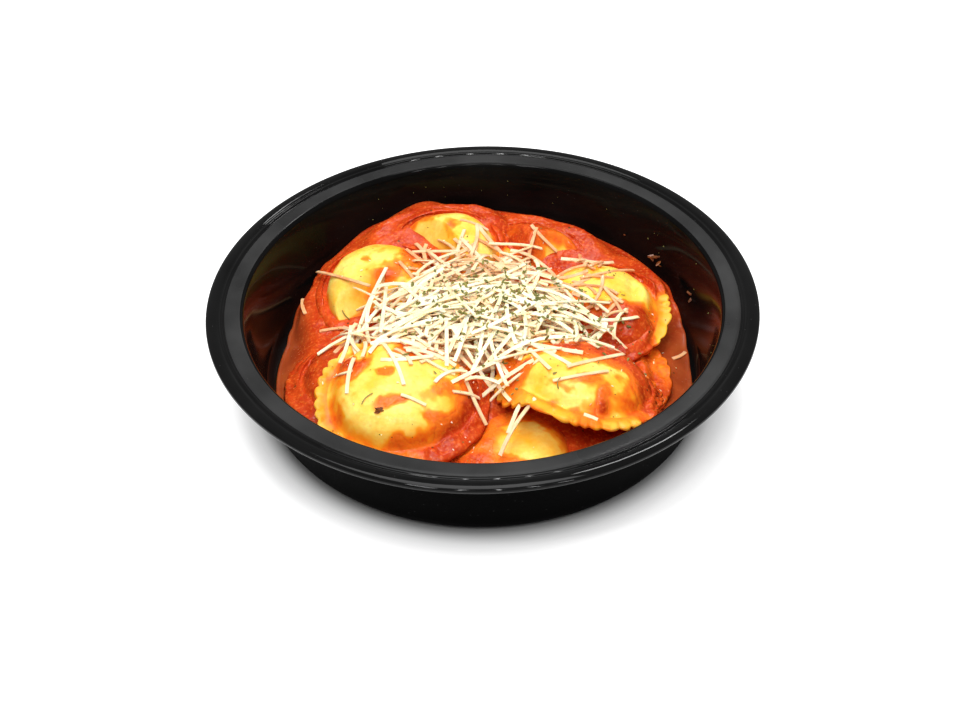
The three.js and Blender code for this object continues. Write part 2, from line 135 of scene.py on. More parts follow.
print("noise at three points:", np.round(soft_noise([[0, 0, 0], [3, 1, 2], [9, 4, 7]], 5, 1), 2))

# %% [markdown]
# ## Rings into meshes
# Bowl, pasta and sauce are all round, so each is a stack of rings: a pole, rings that run
# outwards over the top, and rings that run back in below, to the other pole. Helpers place
# the points round the axis and turn such a stack into a closed mesh that faces outwards.


# %% Rings into meshes
def round_axis(radius, angle, height):
    """Points round the upright axis, from distance, direction and height."""
    parts = np.broadcast_arrays(radius * np.cos(angle), radius * np.sin(angle), height)
    return np.stack(parts, -1)


def polar(points):
    """Distance from the upright axis and direction of points."""
    x, y = points[..., 0], points[..., 1]
    return np.hypot(x, y), np.arctan2(y, x)


def full_turn(steps):
    """Directions of the points of a ring, in radians."""
    return np.arange(steps) / steps * TAU


def ring_faces(rings, count):
    """Faces over a top pole, a number of rings with count points each, and a bottom pole."""
    turn = np.arange(count)
    after = (turn + 1) % count
    start = 1 + count * np.arange(rings - 1)[:, None]
    quads = np.stack([start + turn, start + count + turn, start + count + after, start + after], -1)
    last = 1 + count * (rings - 1)
    top = np.stack([np.zeros(count, int), 1 + turn, 1 + after], -1)
    bottom = np.stack([last + turn, np.full(count, last + count), last + after], -1)
    return quads.reshape(-1, 4).tolist() + top.tolist() + bottom.tolist()


print("a stack of 3 rings of 8 points has", len(ring_faces(3, 8)), "faces")

# %% [markdown]
# Points and faces then become an object. Its points may keep named numbers, such as how wet
# the cheese is, and a finish or a tree of nodes can read them back by their name.


# %% Objects from points
def keep_numbers(mesh, key, numbers, kind="FLOAT"):
    """Keeps named numbers at a mesh's points."""
    form = np.int32 if kind == "INT" else np.float32
    slot = "vector" if kind == "FLOAT_VECTOR" else "value"
    attribute = mesh.attributes.new(key, kind, "POINT")
    attribute.data.foreach_set(slot, np.asarray(numbers, form).ravel())


def add_to_scene(name, data):
    thing = bpy.data.objects.new(name, data)
    bpy.context.scene.collection.objects.link(thing)
    return thing


def make_piece(name, points, faces, material, smooth=True, values=None):
    """A mesh object from points in millimetres, with named numbers kept at its points."""
    mesh = bpy.data.meshes.new(name)
    mesh.from_pydata((np.asarray(points) * MM).tolist(), [], faces)
    mesh.polygons.foreach_set("use_smooth", [smooth] * len(mesh.polygons))
    for key, numbers in (values or {}).items():
        keep_numbers(mesh, key, numbers)
    mesh.materials.append(material)
    mesh.update()
    return add_to_scene(name, mesh)


def count_triangles(piece):
    return sum(len(face.vertices) - 2 for face in piece.data.polygons)


print("points are given in millimetres and kept in metres, times", MM)

# %% [markdown]
# ## Small tools for materials
# A finish is a Principled shader with node patterns behind its sockets. These helpers keep
# the cells below short: one starts a finish, one adds a node with its settings, and one makes
# a noise pattern in the piece's own coordinates, which stays where it is on the piece.


# %% Tools for materials
def new_material(name):
    material = bpy.data.materials.new(name)
    material.use_nodes = True
    shader = material.node_tree.nodes["Principled BSDF"]
    return material, material.node_tree, shader


def add_node(tree, kind, settings=None, inputs=None):
    node = tree.nodes.new(kind)
    for key, value in (settings or {}).items():
        setattr(node, key, value)
    for key, value in (inputs or {}).items():
        if isinstance(value, bpy.types.NodeSocket):
            tree.links.new(value, node.inputs[key])
        else:
            node.inputs[key].default_value = value
    return node


def own_place(tree):
    """Coordinates of the piece itself, so that a pattern stays on it."""
    return add_node(tree, "ShaderNodeTexCoord").outputs["Object"]


def noise_pattern(tree, scale, detail=2.0):
    settings = {"Vector": own_place(tree), "Scale": scale, "Detail": detail}
    return add_node(tree, "ShaderNodeTexNoise", inputs=settings).outputs["Fac"]


print("tools for nodes and patterns ready")

# %% [markdown]
# What a pattern gives is seldom what a socket needs. The next tools stretch its values over
# another range, mix two colours by them, or run them along a ramp of colours.


# %% Tools for values and colours
def ramp(tree, value, stops):
    node = add_node(tree, "ShaderNodeValToRGB", inputs={"Fac": value})
    while len(node.color_ramp.elements) < len(stops):
        node.color_ramp.elements.new(0.5)
    for element, (position, color) in zip(node.color_ramp.elements, stops):
        element.position = position
        element.color = (*color, 1)
    return node.outputs["Color"]


def spread(tree, value, low, high, to_low=0.0, to_high=1.0):
    """Stretches the values between low and high over to_low and to_high."""
    inputs = {"Value": value, "From Min": low, "From Max": high}
    inputs |= {"To Min": to_low, "To Max": to_high}
    return add_node(tree, "ShaderNodeMapRange", inputs=inputs).outputs["Result"]


def mix_color(tree, share, first, second):
    node = add_node(tree, "ShaderNodeMix", {"data_type": "RGBA"})
    for number, value in ((0, share), (6, first), (7, second)):
        socket = node.inputs[number]
        if isinstance(value, bpy.types.NodeSocket):
            tree.links.new(value, socket)
        else:
            socket.default_value = value if isinstance(value, float) else (*value, 1)
    return node.outputs[2]


def math_node(tree, operation, first, second):
    node = add_node(tree, "ShaderNodeMath", {"operation": operation}, {0: first, 1: second})
    return node.outputs[0]


def named_value(tree, name):
    return add_node(tree, "ShaderNodeAttribute", {"attribute_name": name}).outputs["Fac"]


print("tools for values and colours ready")

# %% [markdown]
# The last tools end a finish: they link its colour and its gloss, fill its plain sockets, and
# let a height raise bumps that are too fine for the mesh.


# %% Tools for the shader's sockets
def color_by(tree, shader, color, grain, gloss_low, gloss_high):
    """Links the finished colour, and a roughness that changes with a grain."""
    tree.links.new(color, shader.inputs["Base Color"])
    tree.links.new(spread(tree, grain, 0, 1, gloss_low, gloss_high), shader.inputs["Roughness"])


def set_sockets(shader, values):
    for name, value in values.items():
        shader.inputs[name].default_value = value


def bump(tree, shader, height, strength, distance):
    inputs = {"Height": height, "Strength": strength, "Distance": distance}
    normal = add_node(tree, "ShaderNodeBump", inputs=inputs).outputs["Normal"]
    tree.links.new(normal, shader.inputs["Normal"])


print("tools for the shader's sockets ready")

# %% [markdown]
# ## Two effects that several finishes share
# Cooked food is mottled: patches of a few millimetres differ in tone, and a finer grain lies
# over them. And herbs end up everywhere, as tiny dark specks. Each effect is a node group
# with named inputs, built once. The pasta, the sauce and the cheese place it with their own
# values, so one change here changes them all.


# %% Shared groups: mottle and herb specks
def make_group(name, inputs, outputs):
    group = bpy.data.node_groups.new(name, "ShaderNodeTree")
    for label, default in inputs:
        socket = group.interface.new_socket(label, in_out="INPUT", socket_type="NodeSocketFloat")
        socket.default_value = default
    for label in outputs:
        group.interface.new_socket(label, in_out="OUTPUT", socket_type="NodeSocketFloat")
    return group, group.nodes.new("NodeGroupInput"), group.nodes.new("NodeGroupOutput")


mottle, entry, leave = make_group(
    "mottle", [("Patch Scale", 120.0), ("Grain Scale", 900.0)], ["Patches", "Grain"]
)
place = own_place(mottle)
patches = add_node(mottle, "ShaderNodeTexNoise", inputs={"Vector": place, "Detail": 3.0})
grain = add_node(mottle, "ShaderNodeTexNoise", inputs={"Vector": place, "Detail": 2.0})
mottle.links.new(entry.outputs["Patch Scale"], patches.inputs["Scale"])
mottle.links.new(entry.outputs["Grain Scale"], grain.inputs["Scale"])
patches_out = spread(mottle, patches.outputs["Fac"], 0.33, 0.67)
grain_out = spread(mottle, grain.outputs["Fac"], 0.3, 0.7)
mottle.links.new(patches_out, leave.inputs["Patches"])
mottle.links.new(grain_out, leave.inputs["Grain"])

CELLS_WITHOUT_SPECK = 0.62  # share of the pattern's cells that stay clean
specks, entry, leave = make_group("herb_specks", [("Scale", 260.0), ("Size", 0.12)], ["Mask"])
cells = add_node(specks, "ShaderNodeTexVoronoi", inputs={"Vector": own_place(specks)})
specks.links.new(entry.outputs["Scale"], cells.inputs["Scale"])
close = math_node(specks, "LESS_THAN", cells.outputs["Distance"], entry.outputs["Size"])
tone = add_node(specks, "ShaderNodeSeparateColor", inputs={0: cells.outputs["Color"]})
chosen = math_node(specks, "GREATER_THAN", tone.outputs[0], CELLS_WITHOUT_SPECK)
specks.links.new(math_node(specks, "MULTIPLY", close, chosen), leave.inputs["Mask"])


def mottle_in(tree, patch_scale, grain_scale):
    """Places the mottle in a finish and returns its patches and its grain."""
    inputs = {"Patch Scale": patch_scale, "Grain Scale": grain_scale}
    node = add_node(tree, "ShaderNodeGroup", {"node_tree": mottle}, inputs)
    return node.outputs["Patches"], node.outputs["Grain"]


def specks_in(tree, scale, size):
    inputs = {"Scale": scale, "Size": size}
    return add_node(tree, "ShaderNodeGroup", {"node_tree": specks}, inputs).outputs["Mask"]


print("groups:", [group.name for group in bpy.data.node_groups])

# %% [markdown]
# ## Finish of the pasta
# Fresh egg pasta is warm yellow, paler where it is thick and dry, and glossy from oil. Where
# it has lain in tomato it takes the colour up in soft-edged stains. The number called
# stain_and_shade, kept at each point of the mesh, says how far: 0 is clean dough and 1 is dough
# under a film of sauce. It also tints the flanks of each dome orange as painted shade. A ramp
# turns it into colour, which follows the shape better than a painted map.

# %% Pasta finish
pasta_finish, tree, shader = new_material("pasta")
patches, grain = mottle_in(tree, 95.0, 750.0)
clean = mix_color(tree, patches, (0.94, 0.46, 0.027), (0.96, 0.75, 0.18))
film = ramp(
    tree,
    named_value(tree, "stain_and_shade"),
    [
        (0.0, (0.95, 0.60, 0.07)),
        (0.3, (0.94, 0.36, 0.018)),
        (0.6, (0.90, 0.19, 0.010)),
        (1.0, (0.78, 0.10, 0.009)),
    ],
)
over = spread(tree, named_value(tree, "stain_and_shade"), 0.08, 0.4)
dough = mix_color(tree, over, clean, film)
dough = mix_color(tree, spread(tree, grain, 0.3, 1, 0.0, 0.3), dough, (0.93, 0.34, 0.02))
dough = mix_color(tree, specks_in(tree, 310.0, 0.10), dough, (0.16, 0.07, 0.012))
color_by(tree, shader, dough, grain, 0.26, 0.46)
set_sockets(
    shader,
    {
        "Specular IOR Level": 0.14,
        "Coat Weight": 0.08,
        "Coat Roughness": 0.08,
        "Subsurface Weight": 0.4,
        "Subsurface Radius": (1.0, 0.35, 0.08),
        "Subsurface Scale": 0.003,
    },
)
bump(tree, shader, noise_pattern(tree, 420, 3.0), 0.35, 0.0005)
print("pasta nodes:", len(tree.nodes))

# %% [markdown]
# ## Finish of the tomato sauce
# A cooked tomato sauce is coarse: soft pulp in a red liquid, with oil that makes it glint.
# Thick sauce is a vivid orange red. A thin pool over the black floor is browner, because the
# plastic darkens it, and a film over the pasta is more orange. The numbers called depth and
# film, kept at each point, tell them apart.

# %% Sauce finish
sauce_finish, tree, shader = new_material("tomato_sauce")
patches, grain = mottle_in(tree, 140.0, 900.0)
pulp = add_node(tree, "ShaderNodeTexVoronoi", inputs={"Vector": own_place(tree), "Scale": 800.0})
pulp = pulp.outputs["Distance"]
red = mix_color(tree, patches, (0.41, 0.028, 0.005), (0.57, 0.064, 0.009))
red = mix_color(tree, spread(tree, grain, 0.5, 0.95, 0.0, 0.5), red, (0.76, 0.16, 0.025))
red = mix_color(tree, spread(tree, pulp, 0.0, 0.5, 0.3, 0.0), red, (0.36, 0.025, 0.007))
pool = mix_color(tree, patches, (0.25, 0.040, 0.010), (0.36, 0.066, 0.016))
thick = spread(tree, named_value(tree, "depth"), 0.15, 0.75)
red = mix_color(tree, thick, pool, red)
thin = spread(tree, named_value(tree, "film"), 0.0, 1.0, 0.0, 0.85)
red = mix_color(tree, thin, red, (0.88, 0.175, 0.012))
red = mix_color(tree, specks_in(tree, 240.0, 0.12), red, (0.13, 0.04, 0.01))
color_by(tree, shader, red, grain, 0.10, 0.28)
set_sockets(
    shader,
    {
        "Specular IOR Level": 0.17,
        "Subsurface Weight": 0.25,
        "Subsurface Radius": (1.0, 0.14, 0.04),
        "Subsurface Scale": 0.002,
    },
)
rough = math_node(tree, "ADD", noise_pattern(tree, 850, 3.0), pulp)
rough = math_node(tree, "MULTIPLY", rough, thick)
bump(tree, shader, rough, 0.26, 0.0005)
print("sauce nodes:", len(tree.nodes))

# %% [markdown]
# ## Finishes of the cheese, the parsley and dried sauce
# Dry shreds of hard cheese are cream to white. Those that touch the sauce soak it up and
# turn peach and half clear, which the number called wet tells. The same peach on shreds that
# others bury, and on the heap's middle, is painted shade between the shreds. Dried parsley is a
# dull olive green that goes brown in places. Sauce that has dried on the wall is a dark brown
# crust.

# %% Cheese, parsley and crust finishes
cheese_finish, tree, shader = new_material("shredded_cheese")
patches, grain = mottle_in(tree, 160.0, 1500.0)
dry = mix_color(tree, patches, (0.93, 0.75, 0.42), (0.96, 0.90, 0.67))
# This peach is soaked cheese, and also painted shade for buried shreds and the heap's middle.
wet = mix_color(tree, patches, (0.69, 0.27, 0.095), (0.82, 0.49, 0.25))
soaked_and_shaded = mix_color(tree, named_value(tree, "wet"), dry, wet)
soaked_and_shaded = mix_color(tree, spread(tree, grain, 0.6, 1, 0.0, 0.25), soaked_and_shaded, (0.80, 0.62, 0.34))
color_by(tree, shader, soaked_and_shaded, grain, 0.35, 0.55)
set_sockets(
    shader,
    {"Subsurface Weight": 0.45, "Subsurface Radius": (1.0, 0.6, 0.35), "Subsurface Scale": 0.0008},
)
bump(tree, shader, noise_pattern(tree, 1800), 0.3, 0.0002)

parsley_finish, tree, shader = new_material("dried_parsley")
patches, grain = mottle_in(tree, 300.0, 2500.0)
leaf = mix_color(tree, patches, (0.105, 0.11, 0.013), (0.28, 0.245, 0.045))
leaf = mix_color(tree, spread(tree, grain, 0.5, 1, 0.0, 0.5), leaf, (0.33, 0.29, 0.10))
color_by(tree, shader, leaf, grain, 0.5, 0.8)
bump(tree, shader, noise_pattern(tree, 2600), 0.4, 0.0002)

crust_finish, tree, shader = new_material("dried_sauce")
patches, grain = mottle_in(tree, 500.0, 2500.0)
crust = mix_color(tree, patches, (0.07, 0.018, 0.005), (0.25, 0.075, 0.018))
color_by(tree, shader, crust, grain, 0.25, 0.5)
bump(tree, shader, noise_pattern(tree, 1500), 0.4, 0.0003)
food_finishes = (pasta_finish, sauce_finish, cheese_finish, parsley_finish, crust_finish)
print("food finishes:", [finish.name for finish in food_finishes])

# %% [markdown]
# ## Finishes of the black plastic
# The bowl is pressed from a black plastic sheet. Inside and on the rolled rim it is glossy,
# with faint dust. The flat ledge is duller. The outside of the body is satin, darker and almost
# without gloss, as painted shade for the shadow under the rim. Four materials from one
# function, on one mesh, say this plainly.


# %% Plastic finishes
def black_plastic(name, shade, gloss_low, gloss_high, specular, uneven=0.08):
    """Black plastic with faint dust. Uneven is how far its waves bend what it mirrors."""
    material, tree, shader = new_material(name)
    patches, _ = mottle_in(tree, 40.0, 1200.0)
    color = mix_color(tree, patches, (0.7 * shade,) * 3, (1.3 * shade,) * 3)
    color = mix_color(tree, specks_in(tree, 420.0, 0.07), color, (0.02 + shade,) * 3)
    color_by(tree, shader, color, patches, gloss_low, gloss_high)
    set_sockets(shader, {"Specular IOR Level": specular})
    bump(tree, shader, noise_pattern(tree, 60), uneven, 0.0006)
    return material


plastic_inside = black_plastic("black_plastic_gloss", 0.003, 0.07, 0.15, 0.055)
plastic_ledge = black_plastic("black_plastic_ledge", 0.024, 0.26, 0.4, 0.08)
plastic_rim = black_plastic("black_plastic_rim", 0.004, 0.03, 0.07, 0.11, uneven=0.2)
# The outside is a darker, nearly glossless copy of the plastic: painted shade.
plastic_outside_shaded = black_plastic("black_plastic_satin_shaded", 0.0006, 0.42, 0.55, 0.01)
plastics = (plastic_inside, plastic_ledge, plastic_outside_shaded, plastic_rim)
print("plastic finishes:", [plastic.name for plastic in plastics])

# %% [markdown]
# ## The bowl
# The bowl is one thin pressed shell: a flat floor, a rounded corner, a steep wall, a flat
# ledge for the lid and a rolled rim with a short skirt. It could be spun with a modifier. A
# profile turned in steps is just as short, and it lets each band of the profile take its own
# finish. Corner cutting rounds the profile's corners as the heated sheet rounds them. Each
# point is a distance from the middle and a height, both in millimetres.

# %% Sizes of the bowl
LEDGE_HEIGHT = 36.0
RIM_RADIUS = 92.0
SHELL = 0.9
MOUTH_RADIUS = 79.3
FOOT_RADIUS = 75.0
CORNER = 6.0
BEAD_HEIGHT = 0.4
JUST_INSIDE = 0.005  # keeps the finest points within the solid's box


def arc_points(centre, radius, start, end, steps):
    turn = np.radians(np.linspace(start, end, steps + 1))
    return [(centre[0] + radius * math.cos(t), centre[1] + radius * math.sin(t)) for t in turn]


def cut_corners(points, rounds):
    """Corner cutting: each round replaces a corner by two points near it."""
    line = np.array(points)
    for _ in range(rounds):
        first = 0.75 * line[:-1] + 0.25 * line[1:]
        second = 0.25 * line[:-1] + 0.75 * line[1:]
        middle = np.stack([first, second], 1).reshape(-1, 2)
        line = np.concatenate([line[:1], middle[1:-1], line[-1:]])
    return line


cut_twice = cut_corners([(0, 0), (1, 0), (1, 1)], 2)
print("a corner of 3 points that is cut twice has", len(cut_twice), "points")

# %% [markdown]
# The profile is drawn in four bands, each from the last point of the one before: from the
# middle of the foot up the outside, over the rim, in over the ledge, and down the inside to
# the middle of the floor.

# %% Profile of the bowl
outside = [
    (0.0, 0.0),
    *arc_points((FOOT_RADIUS - CORNER, CORNER + SHELL), CORNER + SHELL, -90, 0, 8),
    (MOUTH_RADIUS + SHELL, LEDGE_HEIGHT - 2.6),
]
rim = [
    (MOUTH_RADIUS + SHELL, LEDGE_HEIGHT - 2.6),
    (MOUTH_RADIUS + 1.1, LEDGE_HEIGHT - 1.2),
    (MOUTH_RADIUS + 2.2, LEDGE_HEIGHT - SHELL),
    (RIM_RADIUS - 6, LEDGE_HEIGHT - SHELL),
    (RIM_RADIUS - 1.5, LEDGE_HEIGHT - SHELL),
    (RIM_RADIUS - 1.0, LEDGE_HEIGHT - 1.2),
    (RIM_RADIUS - SHELL, LEDGE_HEIGHT - 1.6),
    (RIM_RADIUS - 0.1, LEDGE_HEIGHT - 1.6),
    (RIM_RADIUS + 0.02, LEDGE_HEIGHT - 0.6),
    (RIM_RADIUS - 0.3, LEDGE_HEIGHT - 0.1),
    (RIM_RADIUS - 1.2, LEDGE_HEIGHT + 0.3),
    (RIM_RADIUS - 2.4, LEDGE_HEIGHT + 0.42),
    (RIM_RADIUS - 3.5, LEDGE_HEIGHT + 0.36),
    (RIM_RADIUS - 4.2, LEDGE_HEIGHT - 0.05),
    (RIM_RADIUS - 4.5, LEDGE_HEIGHT - 0.05),
    (RIM_RADIUS - 4.9, LEDGE_HEIGHT + 0.3),
    (RIM_RADIUS - 5.5, LEDGE_HEIGHT + 0.3),
    (RIM_RADIUS - 5.9, LEDGE_HEIGHT - 0.25),
    (RIM_RADIUS - 6.3, LEDGE_HEIGHT - 0.3),
]
ledge = [
    (RIM_RADIUS - 6.3, LEDGE_HEIGHT - 0.3),
    (RIM_RADIUS - 6.7, LEDGE_HEIGHT),
    (MOUTH_RADIUS + 2.2, LEDGE_HEIGHT),
    (MOUTH_RADIUS + 1.3, LEDGE_HEIGHT - 0.05),
]
inside = [
    (MOUTH_RADIUS + 1.3, LEDGE_HEIGHT - 0.05),
    (MOUTH_RADIUS + 0.5, LEDGE_HEIGHT - 0.5),
    (MOUTH_RADIUS - 0.1, LEDGE_HEIGHT - 1.8),
    *arc_points((FOOT_RADIUS - CORNER, SHELL + CORNER), CORNER, 0, -90, 8),
    (0.0, SHELL),
]
bands = [
    cut_corners(outside, 1),
    cut_corners(rim, 2),
    cut_corners(ledge, 2),
    cut_corners(inside, 1),
]
profile = np.concatenate([band[:-1] for band in bands] + [bands[-1][-1:]])
profile[:, 0] = np.minimum(profile[:, 0], RIM_RADIUS - JUST_INSIDE)
profile[:, 1] = np.minimum(profile[:, 1], LEDGE_HEIGHT + BEAD_HEIGHT - JUST_INSIDE)
print("profile:", len(profile), "points, highest", round(profile[:, 1].max(), 3), "mm")

# %% [markdown]
# The profile is then turned about the middle, from the pole inside to the pole below. Each
# ring of faces takes the finish of the band it came from, so the change from gloss to satin
# falls exactly on the edges of the plastic.

# %% Turn the bowl
BOWL_STEPS = 288
GLOSS, DULL, SATIN, BEAD = range(4)  # the four plastics, in their order on the mesh
finish_of_band = [SATIN, BEAD, DULL, GLOSS]
line = profile[::-1][1:-1]
rings = round_axis(line[:, :1], full_turn(BOWL_STEPS), line[:, 1:])
points = np.concatenate([[[0, 0, SHELL]], rings.reshape(-1, 3), [[0, 0, 0]]])
bowl = make_piece("takeaway_bowl", points, ring_faces(len(line), BOWL_STEPS), plastics[0])
for plastic in plastics[1:]:
    bowl.data.materials.append(plastic)
band_finish = np.repeat(finish_of_band, [len(band) - 1 for band in bands])
quad_finish = np.repeat(band_finish[::-1][1:len(line)], BOWL_STEPS)
pole_finish = [GLOSS] * BOWL_STEPS + [SATIN] * BOWL_STEPS
bowl.data.polygons.foreach_set("material_index", list(quad_finish) + pole_finish)
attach(bowl, "root")
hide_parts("bowl")
print("bowl:", count_triangles(bowl), "triangles,", "rim across", 2 * profile[:, 0].max(), "mm")

# %% [markdown]
# ## The sauce's surface
# The sauce stands higher against some stretches of the wall than others, as it was ladled.
# A short table gives its height at the wall and a fifth of the way in, by compass direction.
# The surface between is eased from these and a middle height, the same rule as the solid's.

# %% The sauce's height over the bowl
SAUCE_MIDDLE = 17.0
SHELF_AT = 0.8  # where the shelf is, as a share of the way out to the wall
SAUCE_SHORE = np.array(
    [  # direction in degrees, height at the wall, height of the shelf
        *[(0, 1.5, 5), (8, 1.9, 5), (16, 3.6, 5.5), (23, 7.6, 7.5), (28, 11, 9), (50, 12.5, 11)],
        *[(75, 15.5, 13), (93, 17, 16), (106, 22.5, 17), (120, 18.5, 16), (138, 13, 13)],
        *[(150, 6, 11), (160, 2.4, 9.5), (167, 1.5, 9), (190, 1.5, 8), (205, 2.4, 8)],
        *[(225, 9, 10), (250, 12, 11), (275, 12, 10), (300, 9, 8), (330, 4, 6)],
        *[(345, 1.8, 5), (360, 1.5, 5)],
    ]
)


def shore(angle):
    """Sauce height at the wall and a fifth of the way in, for angles in radians."""
    turn = np.degrees(angle) % 360
    row = np.searchsorted(SAUCE_SHORE[:, 0], turn, side="right") - 1
    row = np.clip(row, 0, len(SAUCE_SHORE) - 2)
    start, end = SAUCE_SHORE[row], SAUCE_SHORE[row + 1]
    share = ease(turn, start[..., 0], end[..., 0])
    return (
        start[..., 1] + (end[..., 1] - start[..., 1]) * share,
        start[..., 2] + (end[..., 2] - start[..., 2]) * share,
    )


def sauce_height(angle, part):
    """Sauce height for directions and shares of the way out to the wall."""
    wall, shelf = shore(angle)
    ripple = 0.4 * np.sin(9 * angle + 6 * part) * np.sin(np.pi * part)
    outer = shelf + (wall - shelf) * ease(part, SHELF_AT, 1.0)
    inner = SAUCE_MIDDLE + (shelf - SAUCE_MIDDLE) * ease(part, 0.25, SHELF_AT)
    return np.where(part > SHELF_AT, outer, inner) + ripple


def inside_radius(height):
    """Inside radius of the bowl at a height, with its rounded corner."""
    flare = (MOUTH_RADIUS - FOOT_RADIUS) * (height - SHELL - CORNER)
    wall = FOOT_RADIUS + flare / (LEDGE_HEIGHT - SHELL - CORNER)
    drop = np.clip(CORNER - (height - SHELL), 0, CORNER)
    corner = FOOT_RADIUS - CORNER + np.sqrt(np.maximum(CORNER**2 - drop**2, 0))
    return np.where(height - SHELL >= CORNER, wall, corner)


def sauce_over(x, y):
    """Sauce height over points of the bowl, in millimetres."""
    angle = np.arctan2(y, x)
    part = np.clip(np.hypot(x, y) / inside_radius(sauce_height(angle, np.ones_like(angle))), 0, 1)
    return sauce_height(angle, part)


print("sauce at the wall, mm:", np.round(shore(np.radians([0, 90, 180, 270]))[0], 1))

# %% [markdown]
# ## The ravioli
# Each raviolo is two discs of dough pressed together round a ball of filling and cut with a
# fluted ring, so it has a flat crimped rim round a dome. One function gives the shape, and a
# row of named sizes makes each one different: radii, height, lean, dents and folds. It could
# be sculpted by hand, but a rule keeps nine of them alike and easy to change. A lower one is
# pressed down where an upper one lies on it, as soft dough is.

